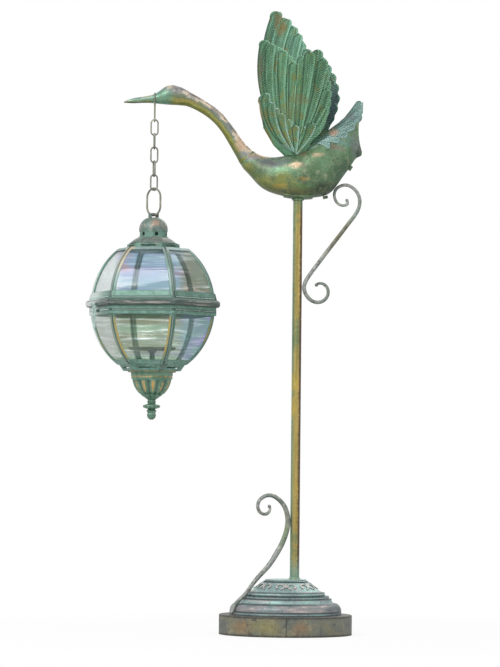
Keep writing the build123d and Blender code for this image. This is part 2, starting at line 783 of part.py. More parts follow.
def make_neck():
    hollow = bird_between(NECK_FROM, BODY_FROM, -BIRD_WALL, HEAD_SPACING)
    return BIRD_ORIGIN * (bird_between(NECK_FROM, BODY_FROM, 0, HEAD_SPACING) - hollow)


def rear_cut():
    """Block behind the hollow rear edge of the body."""
    low, middle, high = [(x, 0, z) for x, z in REAR_HOLLOW]
    far = POLE_LENGTH
    lines = ThreePointArc(low, middle, high)
    lines += Polyline([high, (far, 0, high[2]), (far, 0, low[2]), low])
    return extrude(make_face(lines), PLINTH_RADIUS, both=True)


BODY_SOLID = bird_between(BODY_FROM, len(BIRD_SECTIONS) - 1) - rear_cut()


def make_body_halves():
    """Half shells of the body, split along the keel: the near one, then the far one."""
    hollow = bird_between(BODY_FROM, len(BIRD_SECTIONS) - 2, -BIRD_WALL)
    halves = []
    for side in (-1, 1):
        half_space = Pos(0, side * PLINTH_RADIUS, 0) * Box(
            4 * PLINTH_RADIUS, 2 * PLINTH_RADIUS, 4 * PLINTH_RADIUS
        )
        halves.append(BIRD_ORIGIN * ((BODY_SOLID & half_space) - hollow))
    return halves


def feather(base, tip_across, tip_up, width, bow):
    """Flat feather outline with curved sides and a round tip."""
    across = tip_across - base[0]
    up = tip_up - base[1]
    length = math.hypot(across, up)
    ahead = (across / length, up / length)
    aside = (ahead[1], -ahead[0])

    def at(share, offset):
        bend = 4 * bow * share * (1 - share)
        return (
            base[0] + ahead[0] * length * share + aside[0] * (offset + bend),
            base[1] + ahead[1] * length * share + aside[1] * (offset + bend),
        )

    shoulder = max(FEATHER_SHOULDER, 1 - width * 0.5 / length)
    narrow = width * FEATHER_BASE_SHARE / 2
    half = width / 2
    middle = shoulder / 2
    lines = Line(at(0, -narrow), at(0, narrow))
    lines += Spline(at(0, narrow), at(middle, (narrow + half) / 2), at(shoulder, half))
    lines += ThreePointArc(at(shoulder, half), at(1, 0), at(shoulder, -half))
    lines += Spline(at(shoulder, -half), at(middle, -(narrow + half) / 2), at(0, -narrow))
    return make_face(lines)


def curved_sheet(level, thickness):
    """Part of a tall cylinder's wall that bulges to +Z, its ridge at the given level."""
    outer = WING_CURVE_RADIUS + level + thickness
    tall = 4 * WING_CURVE_RADIUS
    wall = Cylinder(outer, tall) - Cylinder(outer - thickness, 2 * tall)
    front = Pos(0, 0, WING_CURVE_RADIUS) * Box(2 * WING_CURVE_RADIUS, tall, WING_CURVE_RADIUS)
    return Pos(WING_CURVE_CENTRE, 0, -WING_CURVE_RADIUS) * ((Rot(90, 0, 0) * wall) & front)


def make_wing(web, feathers, lean, root):
    """Wing on the -Y side: a thin web with feathers raised in tiers on both faces, cut to the body."""
    sheets = {}
    sheets[0] = [make_face(Polyline(web, close=True))]
    for fan, tips in feathers.items():
        for index, tip in enumerate(tips):
            level = FAN_TIERS[fan] + index % 2
            sheets.setdefault(level, []).append(feather(FAN_BASES[fan], *tip))
    layers = []
    for level, faces in sheets.items():
        prism = extrude(Sketch() + faces, WING_CURVE_RADIUS / 5, both=True)
        relief = level * WING_TIER
        layers.append(prism & curved_sheet(-relief, WING_SHEET + 2 * relief))
    tilt = math.radians(lean)
    plane = Plane(
        origin=(0, -root, WING_ROOT_HEIGHT),
        x_dir=(1, 0, 0),
        z_dir=(0, -math.cos(tilt), -math.sin(tilt)),
    )
    wing = layers[0].fuse(*layers[1:])
    return plane.location * wing - BODY_SOLID


def make_near_wing():
    return BIRD_ORIGIN * make_wing(NEAR_WEB, NEAR_FEATHERS, NEAR_WING_LEAN, NEAR_WING_ROOT)


def make_far_wing():
    wing = make_wing(FAR_WEB, FAR_FEATHERS, FAR_WING_LEAN, FAR_WING_ROOT)
    return BIRD_ORIGIN * mirror(wing, Plane.XZ)


def make_tail(side):
    """Tail fan that lies on one side of the body. side is 1 for +Y and -1 for -Y."""
    groups = [[], []]
    for index, tip in enumerate(TAIL_FEATHERS):
        groups[index % 2].append(feather(TAIL_BASE, *tip))
    upright = Plane(origin=(0, 0, 0), x_dir=(1, 0, 0), z_dir=(0, -1, 0))
    fans = []
    seat = bird_between(BODY_FROM, len(BIRD_SECTIONS) - 1, TAIL_SEAT) - rear_cut()
    for faces, relief in zip(groups, (TAIL_RELIEF, TAIL_RELIEF / 2)):
        prism = extrude(upright * (Sketch() + faces), -side * PLINTH_RADIUS)
        fans.append(prism & bird_between(TAIL_FROM, len(BIRD_SECTIONS) - 1, relief))
    return BIRD_ORIGIN * ((fans[0] + fans[1]) - seat)


def make_saddle():
    zone = Box(SADDLE_LENGTH, SADDLE_WIDTH, 8 * SADDLE_THICKNESS)
    skin = bird_between(SADDLE_FROM, SADDLE_TO, SADDLE_THICKNESS) & zone
    pad = Pos(0, 0, -SADDLE_RISE) * Cylinder(
        POLE_RADIUS + SADDLE_THICKNESS,
        2 * SADDLE_RISE,
        align=(Align.CENTER, Align.CENTER, Align.MIN),
    )
    spigot = Pos(0, 0, -SADDLE_RISE - SADDLE_SPIGOT) * Cylinder(
        POLE_RADIUS - POLE_WALL - RUN,
        SADDLE_SPIGOT + SADDLE_RISE,
        align=(Align.CENTER, Align.CENTER, Align.MIN),
    )
    return BIRD_ORIGIN * ((skin + pad + spigot) - BODY_SOLID)


def make_seam_tabs():
    tabs = []
    for (x, z), turn in zip(SEAM_TAB_POINTS, SEAM_TAB_TURNS):
        block = Box(SEAM_TAB_LENGTH, SEAM_TAB_WIDTH, 2 * SEAM_TAB_THICKNESS)
        tabs.append(Pos(x, 0, z) * Rot(0, -turn, 0) * block)
    return [BIRD_ORIGIN * (tab - BODY_SOLID) for tab in tabs]


# Chain


def loop_of_wire(half_length, half_width, wire):
    """Oval link in the X Z plane about its own middle, sizes to the middle of the wire."""
    straight = half_length - half_width
    lines = Line((half_width, 0, -straight), (half_width, 0, straight))
    lines += ThreePointArc((half_width, 0, straight), (0, 0, half_length), (-half_width, 0, straight))
    lines += Line((-half_width, 0, straight), (-half_width, 0, -straight))
    lines += ThreePointArc(
        (-half_width, 0, -straight), (0, 0, -half_length), (half_width, 0, -straight)
    )
    path = Wire(lines.edges())
    section = Pos(half_width, 0, -straight) * Circle(wire)
    return sweep(section, path)


def make_beak_loop():
    """Pear-shaped wire loop in the Y Z plane, round the beak at the top."""
    top = BEAK_GROOVE_RADIUS + FIT + CHAIN_WIRE
    toe = BEAK_LOOP_TOE
    drop = BEAK_LOOP_DROP - toe
    lean = math.asin((top - toe) / drop)
    side = (math.cos(lean), -math.sin(lean))
    right_top = (top * side[0], top * side[1])
    right_toe = (toe * side[0], toe * side[1] - drop)
    lines = ThreePointArc(
        (0, right_top[0], right_top[1]), (0, 0, top), (0, -right_top[0], right_top[1])
    )
    lines += Line((0, -right_top[0], right_top[1]), (0, -right_toe[0], right_toe[1]))
    lines += ThreePointArc(
        (0, -right_toe[0], right_toe[1]), (0, 0, -drop - toe), (0, right_toe[0], right_toe[1])
    )
    lines += Line((0, right_toe[0], right_toe[1]), (0, right_top[0], right_top[1]))
    start = Plane(origin=(0, 0, top), z_dir=(0, 1, 0))
    loop = sweep(start * Circle(CHAIN_WIRE), Wire(lines.edges()))
    return Pos(BEAK_PIVOT[0], 0, BEAK_PIVOT[1]) * loop


def chain_levels():
    """Heights of the middle of the wire at the bottom of the beak loop, each link and the ring."""
    levels = [BEAK_PIVOT[1] - BEAK_LOOP_DROP]
    for _ in range(LINK_COUNT):
        step = LINK_LENGTH - 2 * CHAIN_WIRE - (2 * CHAIN_WIRE + LINK_GAP)
        levels.append(levels[-1] - step)
    ring_step = RING_LENGTH - 2 * RING_WIRE - (CHAIN_WIRE + RING_WIRE + LINK_GAP)
    levels.append(levels[-1] - ring_step)
    return levels


def link_yaw(index):
    """Turn of a link about Z, the first one face on, with a slight twist down the chain."""
    return 90.0 * (index % 2) + LINK_TWIST * (index + 1)


def make_link(index):
    half_length = LINK_LENGTH / 2 - CHAIN_WIRE
    half_width = LINK_WIDTH / 2 - CHAIN_WIRE
    middle = chain_levels()[index + 1] + half_length
    link = loop_of_wire(half_length, half_width, CHAIN_WIRE)
    return Pos(BEAK_PIVOT[0], 0, middle) * Rot(0, 0, link_yaw(index)) * link


def make_ring():
    half_length = RING_LENGTH / 2 - RING_WIRE
    half_width = RING_WIDTH / 2 - RING_WIRE
    middle = chain_levels()[-1] + half_length
    ring = loop_of_wire(half_length, half_width, RING_WIRE)
    return Pos(BEAK_PIVOT[0], 0, middle) * Rot(0, 0, RING_YAW) * ring


# Lantern: built about its own axis with a corner on X, heights from the parting plane


def parting_level():
    return chain_levels()[-1] - HOOK_HEIGHT


def in_place(solid):
    turn = LANTERN_TURN - 90.0
    return Pos(BEAK_PIVOT[0], 0, parting_level()) * Rot(0, 0, turn) * solid


def face_turn(index):
    return 30.0 + 60.0 * index


def globe_solid(offset):
    """Six-sided barrel whose sides are straight across and curve from top to bottom."""
    apothem = GLOBE_RADIUS * math.cos(math.radians(30)) + offset
    high = UPPER_FRAME_TOP + GLASS_THICKNESS - GLOBE_CENTRE
    low = LOWER_FRAME_FOOT - GLASS_THICKNESS - GLOBE_CENTRE
    outline = Ellipse(GLOBE_HALF_HEIGHT + offset, apothem, rotation=90)
    outline = outline & (Pos(0, (high + low) / 2) * Rectangle(4 * apothem, high - low))
    side = Plane(origin=(0, 0, GLOBE_CENTRE), x_dir=(1, 0, 0), z_dir=(0, -1, 0))
    slab = extrude(side * outline, 2 * GLOBE_RADIUS, both=True)
    barrel = Rot(0, 0, face_turn(0)) * slab
    for index in (1, 2):
        barrel = barrel & (Rot(0, 0, face_turn(index)) * slab)
    return barrel


def slice_between(low, high):
    """Thick block between two heights, wider than the lantern."""
    wide = 4 * GLOBE_RADIUS
    return Pos(0, 0, (low + high) / 2) * Box(wide, wide, high - low)


def window_cutter(low, high):
    """Six tapering window openings, cut square to each face."""
    half_width = GLOBE_RADIUS / 2 - RIB_MARGIN
    half_height = GLOBE_HALF_HEIGHT - 0.7 * RIB_MARGIN
    outline = Ellipse(half_height, half_width, rotation=90)
    middle = (low + high) / 2 - GLOBE_CENTRE
    outline = outline & (Pos(0, middle) * Rectangle(4 * half_width, high - low))
    side = Plane(origin=(0, 0, GLOBE_CENTRE), x_dir=(0, 1, 0), z_dir=(1, 0, 0))
    cutter = extrude(side * outline, 2 * GLOBE_RADIUS)
    return [Rot(0, 0, face_turn(index)) * cutter for index in range(6)]


def hex_band(foot, foot_radius, top, top_radius):
    """Solid hexagonal frustum between two heights."""
    return loft([Pos(0, 0, foot) * hexagon(foot_radius), Pos(0, 0, top) * hexagon(top_radius)])


def hex_bore(foot, top, radius):
    return Pos(0, 0, foot - 1) * extrude(hexagon(radius), top - foot + 2)


def glazed_frame(foot, top, window_foot, window_top):
    """Folded sheet ribs at the six corners with a strip along both ends."""
    skin = globe_solid(FRAME_GAP + FRAME_SHEET) - globe_solid(FRAME_GAP)
    frame = skin & slice_between(foot, top)
    return frame - window_cutter(window_foot, window_top)


def make_upper_frame():
    frame = glazed_frame(PARTING_GAP, UPPER_FRAME_TOP, UPPER_WINDOW_FOOT, UPPER_WINDOW_TOP)
    band = hex_band(UPPER_BAND_FOOT, UPPER_BAND_FOOT_RADIUS, UPPER_BAND_TOP, UPPER_BAND_TOP_RADIUS)
    bore = hex_bore(UPPER_BAND_FOOT, UPPER_BAND_TOP, BAND_INNER_RADIUS)
    crown_foot = UPPER_FRAME_TOP - CROWN_THICKNESS
    crown = globe_solid(FRAME_GAP + FRAME_SHEET / 2) & slice_between(crown_foot, UPPER_FRAME_TOP)
    crown -= hex_bore(crown_foot, UPPER_FRAME_TOP, CROWN_BORE_RADIUS)
    return in_place(frame + (band - bore) + crown)


def make_flange():
    """Rounded hexagonal rim that covers the joint between the halves."""
    top = UPPER_BAND_FOOT
    low = hex_band(PARTING_GAP, FLANGE_RADIUS - FLANGE_EDGE, FLANGE_EDGE, FLANGE_RADIUS)
    middle = hex_band(FLANGE_EDGE, FLANGE_RADIUS, top - FLANGE_EDGE, FLANGE_RADIUS)
    high = hex_band(top - FLANGE_EDGE, FLANGE_RADIUS, top, FLANGE_RADIUS - FLANGE_EDGE)
    inside = GLOBE_RADIUS + FRAME_GAP + FRAME_SHEET + 2 * FIT
    return in_place(low + middle + high - hex_bore(0, top, inside))


def make_lower_frame():
    top = -PARTING_GAP
    frame = glazed_frame(LOWER_FRAME_FOOT, top, LOWER_WINDOW_FOOT, LOWER_WINDOW_TOP)
    band = hex_band(-LOWER_BAND_DEPTH, LOWER_BAND_RADIUS, top, LOWER_BAND_RADIUS)
    bore = hex_bore(-LOWER_BAND_DEPTH, top, BAND_INNER_RADIUS)
    return in_place(frame + (band - bore))


def make_panes(foot, top):
    """Six curved panes between two heights, one for each side."""
    skin = (globe_solid(0) - globe_solid(-GLASS_THICKNESS)) & slice_between(foot, top)
    reach = 2 * GLOBE_RADIUS
    gap = GLASS_SIDE_GAP
    edge = reach * math.tan(math.radians(30))
    wedge = make_face(Polyline([(2 * gap, 0), (reach, edge - 2 * gap), (reach, 2 * gap - edge)], close=True))
    sector = Pos(0, 0, -reach) * extrude(wedge, 2 * reach)
    return [in_place(skin & (Rot(0, 0, face_turn(index)) * sector)) for index in range(6)]


def make_strap():
    """Flat strip bent over the ring, with its two feet on the cap."""
    bend = RING_WIDTH / 2 - RING_WIRE
    ring_rise = bend - math.sqrt(bend**2 - (STRAP_WIDTH / 2) ** 2)
    inner_top = STRAP_LEG + LINK_GAP + 2 * RING_WIRE + LINK_GAP + ring_rise
    outer_top = inner_top + STRAP_THICKNESS
    inner_half = STRAP_LENGTH / 2 - STRAP_THICKNESS
    foot_half = STRAP_LENGTH / 2
    arch = plate_between(
        [
            (-foot_half, 0),
            (-foot_half, outer_top - STRAP_THICKNESS),
            (-foot_half + STRAP_THICKNESS, outer_top),
            (foot_half - STRAP_THICKNESS, outer_top),
            (foot_half, outer_top - STRAP_THICKNESS),
            (foot_half, 0),
            (inner_half, 0),
            (inner_half, inner_top),
            (-inner_half, inner_top),
            (-inner_half, 0),
        ],
        STRAP_WIDTH / 2,
    )
    level = chain_levels()[-1] - STRAP_LEG - RING_WIRE - LINK_GAP
    return Pos(BEAK_PIVOT[0], 0, level) * Rot(0, 0, RING_YAW + 90.0) * arch


def dome_wall(radius, foot, top, wall):
    """Round cap as a revolved arc shell with a small flat top."""
    foot_point = (radius, foot)
    shoulder = (radius * 0.82, foot + (top - foot) * 0.68)
    crown = (CAP_FLAT_RADIUS, top)
    inner_foot = (radius - wall, foot)
    inner_shoulder = (shoulder[0] - wall * 0.8, shoulder[1] - wall * 0.8)
    inner_crown = (CAP_FLAT_RADIUS, top - wall)
    lines = ThreePointArc(foot_point, shoulder, crown)
    lines += Polyline([crown, (0, top), (0, top - wall), inner_crown])
    lines += ThreePointArc(inner_crown, inner_shoulder, inner_foot)
    lines += Line(inner_foot, foot_point)
    return revolve(make_face(Plane.XZ * lines), Axis.Z)


def make_cap():
    return in_place(dome_wall(CAP_RADIUS, CAP_FOOT, CAP_TOP, CAP_WALL))


def make_vent_collar():
    flange = CAP_WALL
    collar = turned(
        [
            (VENT_RADIUS - CAP_WALL, VENT_FOOT),
            (SKIRT_NECK_RADIUS, VENT_FOOT),
            (SKIRT_NECK_RADIUS, VENT_FOOT + flange),
            (VENT_RADIUS, VENT_FOOT + flange),
            (VENT_RADIUS, CAP_FOOT - flange),
            (CAP_RADIUS, CAP_FOOT - flange),
            (CAP_RADIUS, CAP_FOOT),
            (VENT_RADIUS - CAP_WALL, CAP_FOOT),
        ]
    )
    level = (VENT_FOOT + CAP_FOOT) / 2
    drill = Pos(VENT_RADIUS, 0, level) * Rot(0, 90, 0) * Cylinder(VENT_HOLE_RADIUS, VENT_RADIUS / 2)
    holes = [Rot(0, 0, angle) * drill for angle in around(VENT_HOLES, VENT_HOLE_TURN)]
    return in_place(collar - holes)


def make_skirt():
    foot = SKIRT_FOOT
    neck = (SKIRT_NECK_RADIUS, VENT_FOOT)
    hip = ((SKIRT_NECK_RADIUS + SKIRT_RADIUS) / 2 + CAP_WALL, foot + SKIRT_HEIGHT * 0.62)
    edge = (SKIRT_RADIUS, foot + SKIRT_BEAD)
    inner_neck = (SKIRT_NECK_RADIUS - CAP_WALL - FIT, VENT_FOOT)
    inner_hip = (hip[0] - CAP_WALL, hip[1] - CAP_WALL)
    inner_edge = (SKIRT_RADIUS - 2 * CAP_WALL, foot + SKIRT_BEAD)
    lines = ThreePointArc(neck, hip, edge)
    lines += Polyline(
        [
            edge,
            (SKIRT_RADIUS + SKIRT_BEAD, foot + SKIRT_BEAD),
            (SKIRT_RADIUS + SKIRT_BEAD, foot),
            (SKIRT_RADIUS - 2 * CAP_WALL, foot),
            inner_edge,
        ]
    )
    lines += ThreePointArc(inner_edge, inner_hip, inner_neck)
    lines += Line(inner_neck, neck)
    return in_place(revolve(make_face(Plane.XZ * lines), Axis.Z))


def slotted_ring(foot, foot_radius, top, top_radius, slot_length, slot_height):
    """Hexagonal ring with a long slot through each side."""
    wall = 2 * FRAME_SHEET
    ring = hex_band(foot, foot_radius, top, top_radius)
    bore = hex_band(foot - 1, foot_radius - wall, top + 1, top_radius - wall)
    slot = Box(foot_radius, slot_length, slot_height)
    level = (foot + top) / 2
    slots = [Rot(0, 0, face_turn(index)) * Pos(foot_radius, 0, level) * slot for index in range(6)]
    return ring - bore - slots


def make_top_ring():
    ring = slotted_ring(
        TOP_RING_FOOT,
        TOP_RING_RADIUS,
        SKIRT_FOOT,
        TOP_RING_RADIUS - 1.0,
        TOP_RING_SLOT_LENGTH,
        TOP_RING_SLOT_HEIGHT,
    )
    return in_place(ring)


def make_foot_ring():
    ring = slotted_ring(
        FOOT_RING_FOOT,
        FOOT_RING_TAPER_RADIUS,
        FOOT_RING_TOP,
        FOOT_RING_RADIUS,
        FOOT_SLOT_LENGTH,
        FOOT_SLOT_HEIGHT,
    )
    return in_place(ring)


def make_foot_plate():
    """Disc that closes the foot ring and carries the stem above and the cup below."""
    radius = (FOOT_RING_TAPER_RADIUS - 2 * FRAME_SHEET) * math.cos(math.radians(30)) - FIT
    disc = Cylinder(radius, FOOT_PLATE_THICKNESS, align=(Align.CENTER, Align.CENTER, Align.MIN))
    hole = Cylinder(ROD_RADIUS + RUN, 4 * FOOT_PLATE_THICKNESS)
    return in_place(Pos(0, 0, FOOT_RING_FOOT) * (disc - hole))


def make_cup():
    wall = CAP_WALL
    bead = CUP_BEAD
    foot = CUP_FOOT
    cup = turned(
        [
            (ROD_RADIUS + RUN, foot),
            (CUP_RADIUS - 2 * bead, foot),
            (CUP_RADIUS, foot + 2 * bead),
            (CUP_RADIUS - bead, foot + 4 * bead),
            (CUP_RADIUS, foot + 6 * bead),
            (CUP_RADIUS, CUP_TOP - CUP_RIM_HEIGHT),
            (CUP_RIM_RADIUS, CUP_TOP - CUP_RIM_HEIGHT),
            (CUP_RIM_RADIUS, CUP_TOP),
            (CUP_RADIUS - 3 * bead, CUP_TOP),
            (CUP_RADIUS - 3 * bead, foot + wall),
            (ROD_RADIUS + RUN, foot + wall),
        ]
    )
    return in_place(cup)


def make_fluted_bowl():
    """Bowl with hollow flutes between raised lobes, narrowing to a neck."""
    top = (BOWL_RADIUS, CUP_FOOT)
    bulge = (BOWL_RADIUS * 0.84, CUP_FOOT - BOWL_HEIGHT * 0.45)
    waist = (BOWL_NECK_RADIUS * 2, CUP_FOOT - BOWL_HEIGHT * 0.86)
    neck = (BOWL_NECK_RADIUS, BOWL_FOOT)
    lines = ThreePointArc(top, bulge, waist)
    lines += Polyline([waist, neck, (ROD_RADIUS + RUN, BOWL_FOOT), (ROD_RADIUS + RUN, CUP_FOOT), top])
    bowl = revolve(make_face(Plane.XZ * lines), Axis.Z)
    start = (BOWL_RADIUS + FLUTE_RADIUS * 0.55, CUP_FOOT - 4.0)
    middle = (BOWL_RADIUS * 0.84 + FLUTE_RADIUS * 0.72, bulge[1])
    end = (BOWL_NECK_RADIUS * 2 + FLUTE_RADIUS * 0.9, waist[1])
    path = Plane.XZ * ThreePointArc(start, middle, end)
    section = Plane(origin=path @ 0, z_dir=path % 0) * Circle(FLUTE_RADIUS)
    gouge = sweep(section, path)
    gouges = [Rot(0, 0, angle) * gouge for angle in around(FLUTES)]
    return in_place(bowl - gouges)


def make_finial():
    top = FINIAL_TOP
    outline = [(ROD_RADIUS + RUN, top)]
    outline += [(radius, top + drop) for radius, drop in FINIAL_PROFILE]
    last = FINIAL_PROFILE[-1]
    outline += [(0, top + last[1]), (0, top - ROD_REACH * 3), (ROD_RADIUS + RUN, top - ROD_REACH * 3)]
    return in_place(turned(outline))


def make_rod():
    """Long bolt from the dish to the finial, its hex head sunk in the dish's well."""
    low = FINIAL_TOP - ROD_REACH * 2
    head_foot = DISH_LEVEL - DISH_WELL_DEPTH + DISH_WALL
    rod = Pos(0, 0, low) * Cylinder(
        ROD_RADIUS, head_foot - low, align=(Align.CENTER, Align.CENTER, Align.MIN)
    )
    head = Pos(0, 0, head_foot) * extrude(hexagon(ROD_HEAD_RADIUS), ROD_HEAD_HEIGHT)
    return in_place(rod + head)


def make_stem():
    """Tube that holds the candle dish up from the foot plate, with a foot flange."""
    foot = FOOT_RING_FOOT + FOOT_PLATE_THICKNESS
    stem = turned(
        [
            (ROD_RADIUS + RUN, foot),
            (STEM_FOOT_RADIUS, foot),
            (STEM_RADIUS + 1.0, foot + STEM_FOOT_HEIGHT),
            (STEM_RADIUS, foot + 2 * STEM_FOOT_HEIGHT),
            (STEM_RADIUS, DISH_LEVEL - DISH_WELL_DEPTH),
            (ROD_RADIUS + RUN, DISH_LEVEL - DISH_WELL_DEPTH),
        ]
    )
    return in_place(stem)


def make_dish():
    """Shallow candle dish with a raised rim and a well for the bolt's head."""
    well_foot = DISH_LEVEL - DISH_WELL_DEPTH
    dish = turned(
        [
            (ROD_RADIUS + RUN, well_foot),
            (DISH_WELL_RADIUS + DISH_WALL, well_foot),
            (DISH_WELL_RADIUS + DISH_WALL, DISH_LEVEL),
            (DISH_RADIUS - DISH_HEIGHT, DISH_LEVEL),
            (DISH_RADIUS, DISH_LEVEL + DISH_HEIGHT),
            (DISH_RADIUS - DISH_WALL * 1.5, DISH_LEVEL + DISH_HEIGHT),
            (DISH_RADIUS - DISH_HEIGHT - DISH_WALL, DISH_LEVEL + DISH_WALL),
            (DISH_WELL_RADIUS, DISH_LEVEL + DISH_WALL),
            (DISH_WELL_RADIUS, well_foot + DISH_WALL),
            (ROD_RADIUS + RUN, well_foot + DISH_WALL),
        ]
    )
    return in_place(dish)


# Hinge and latch: built with the lantern's axis at the origin and the face's middle on +X


def on_face(solid, turn):
    return in_place(Rot(0, 0, turn) * solid)


def knuckle(out, level, offset, length, radius):
    """Round barrel along the face, its middle at the offset."""
    return Pos(out, offset, level) * Rot(90, 0, 0) * Cylinder(radius, length)


def face_apothem(radius):
    return radius * math.cos(math.radians(30))


def make_hinge_leaf_upper():
    """Leaf on the flange's outer side with the two outer knuckles and the riveted pin."""
    level = -HINGE_DROP
    apothem = face_apothem(FLANGE_RADIUS) + FIT / 3
    side = (KNUCKLE_LENGTH + KNUCKLE_LENGTH) / 2 + FIT
    plate = Pos(apothem + LEAF_THICKNESS / 2, 0, level + (LEAF_HEIGHT + HINGE_DROP) / 2) * Box(
        LEAF_THICKNESS, 3 * KNUCKLE_LENGTH + 2 * FIT, LEAF_HEIGHT + HINGE_DROP
    )
    relief = Pos(HINGE_OUT, 0, level) * Box(
        2 * (HINGE_OUT - apothem) + 2 * FIT,
        KNUCKLE_LENGTH + 2 * FIT,
        2 * (KNUCKLE_RADIUS + FIT),
    )
    leaf = plate - relief
    for offset in (-side, side):
        leaf = leaf + knuckle(HINGE_OUT, level, offset, KNUCKLE_LENGTH, KNUCKLE_RADIUS)
    pin_length = 3 * KNUCKLE_LENGTH + 2 * FIT + LEAF_THICKNESS
    pin = knuckle(HINGE_OUT, level, 0, pin_length, HINGE_PIN_RADIUS)
    return on_face(leaf + pin, HINGE_FACE)


def make_hinge_leaf_lower():
    """Leaf on the lower band with the middle knuckle."""
    level = -HINGE_DROP
    apothem = face_apothem(LOWER_BAND_RADIUS) + FIT / 3
    plate = Pos(apothem + LEAF_THICKNESS / 2, 0, level - LEAF_HEIGHT / 2 + LEAF_THICKNESS) * Box(
        LEAF_THICKNESS, 3 * KNUCKLE_LENGTH, LEAF_HEIGHT
    )
    arm_length = HINGE_OUT - apothem
    arm = Pos(apothem + arm_length / 2, 0, level) * Box(arm_length, KNUCKLE_LENGTH, LEAF_THICKNESS)
    barrel = knuckle(HINGE_OUT, level, 0, KNUCKLE_LENGTH, KNUCKLE_RADIUS)
    bore = knuckle(HINGE_OUT, level, 0, 6 * KNUCKLE_LENGTH, HINGE_PIN_RADIUS + RUN / 2)
    return on_face(plate + arm + barrel - bore, HINGE_FACE)


def make_latch_bracket():
    """Two lugs on the flange with the riveted pin that carries the hasp."""
    apothem = face_apothem(FLANGE_RADIUS) + FIT / 3
    lug_offset = HASP_WIDTH / 2 + LEAF_THICKNESS / 2 + FIT
    plate = Pos(apothem + LEAF_THICKNESS / 4, 0, LATCH_RISE) * Box(
        LEAF_THICKNESS / 2, HASP_WIDTH + 4 * LEAF_THICKNESS, 2 * KNUCKLE_RADIUS
    )
    bracket = plate
    for offset in (-lug_offset, lug_offset):
        arm_length = LATCH_OUT - apothem
        arm = Pos(apothem + arm_length / 2, offset, LATCH_RISE) * Box(
            arm_length, LEAF_THICKNESS, 2 * KNUCKLE_RADIUS
        )
        bracket = bracket + arm + knuckle(LATCH_OUT, LATCH_RISE, offset, LEAF_THICKNESS, KNUCKLE_RADIUS)
    pin_length = HASP_WIDTH + 2 * FIT + 3 * LEAF_THICKNESS
    pin = knuckle(LATCH_OUT, LATCH_RISE, 0, pin_length, HINGE_PIN_RADIUS)
    return on_face(bracket + pin, LATCH_FACE)


def hasp_outline():
    """Openwork hasp seen from the front, its pin at the origin."""
    half = HASP_WIDTH / 2
    tail = half * 0.62
    body = Pos(0, -HASP_LENGTH * 0.32) * Ellipse(half, HASP_LENGTH * 0.27)
    body += Pos(0, -HASP_LENGTH + tail) * Circle(tail)
    body += Pos(0, -HASP_LENGTH * 0.45) * Rectangle(HASP_SLOT_WIDTH + 6.0, HASP_LENGTH * 0.8)
    body += Pos(0, -KNUCKLE_RADIUS) * Rectangle(HASP_WIDTH, 2 * KNUCKLE_RADIUS)
    slot_length = HASP_SLOT_TOP - HASP_SLOT_FOOT
    slot = Pos(0, (HASP_SLOT_TOP + HASP_SLOT_FOOT) / 2) * SlotOverall(
        slot_length, HASP_SLOT_WIDTH, rotation=90
    )
    eyes = [Pos(side * half * 0.68, -HASP_LENGTH * 0.32) * Circle(half * 0.17) for side in (-1, 1)]
    return body - slot - eyes


def make_hasp():
    front = Plane(origin=(0, 0, 0), x_dir=(0, 1, 0), z_dir=(1, 0, 0))
    plate = extrude(front * hasp_outline(), HASP_THICKNESS / 2, both=True)
    barrel = Rot(90, 0, 0) * Cylinder(KNUCKLE_RADIUS - LEAF_THICKNESS / 4, HASP_WIDTH)
    bore = Rot(90, 0, 0) * Cylinder(HINGE_PIN_RADIUS + RUN / 2, 2 * HASP_WIDTH)
    hasp = Pos(LATCH_OUT, 0, LATCH_RISE) * (plate + barrel - bore)
    return on_face(hasp, LATCH_FACE)


def make_latch_stud():
    apothem = face_apothem(LOWER_BAND_RADIUS) + FIT / 3
    tip = LATCH_OUT - HASP_THICKNESS / 2 + STUD_BITE
    stud = Rot(0, 90, 0) * Cylinder(
        STUD_RADIUS, tip - apothem, align=(Align.CENTER, Align.CENTER, Align.MIN)
    )
    return on_face(Pos(apothem, 0, -STUD_DEPTH) * stud, LATCH_FACE)


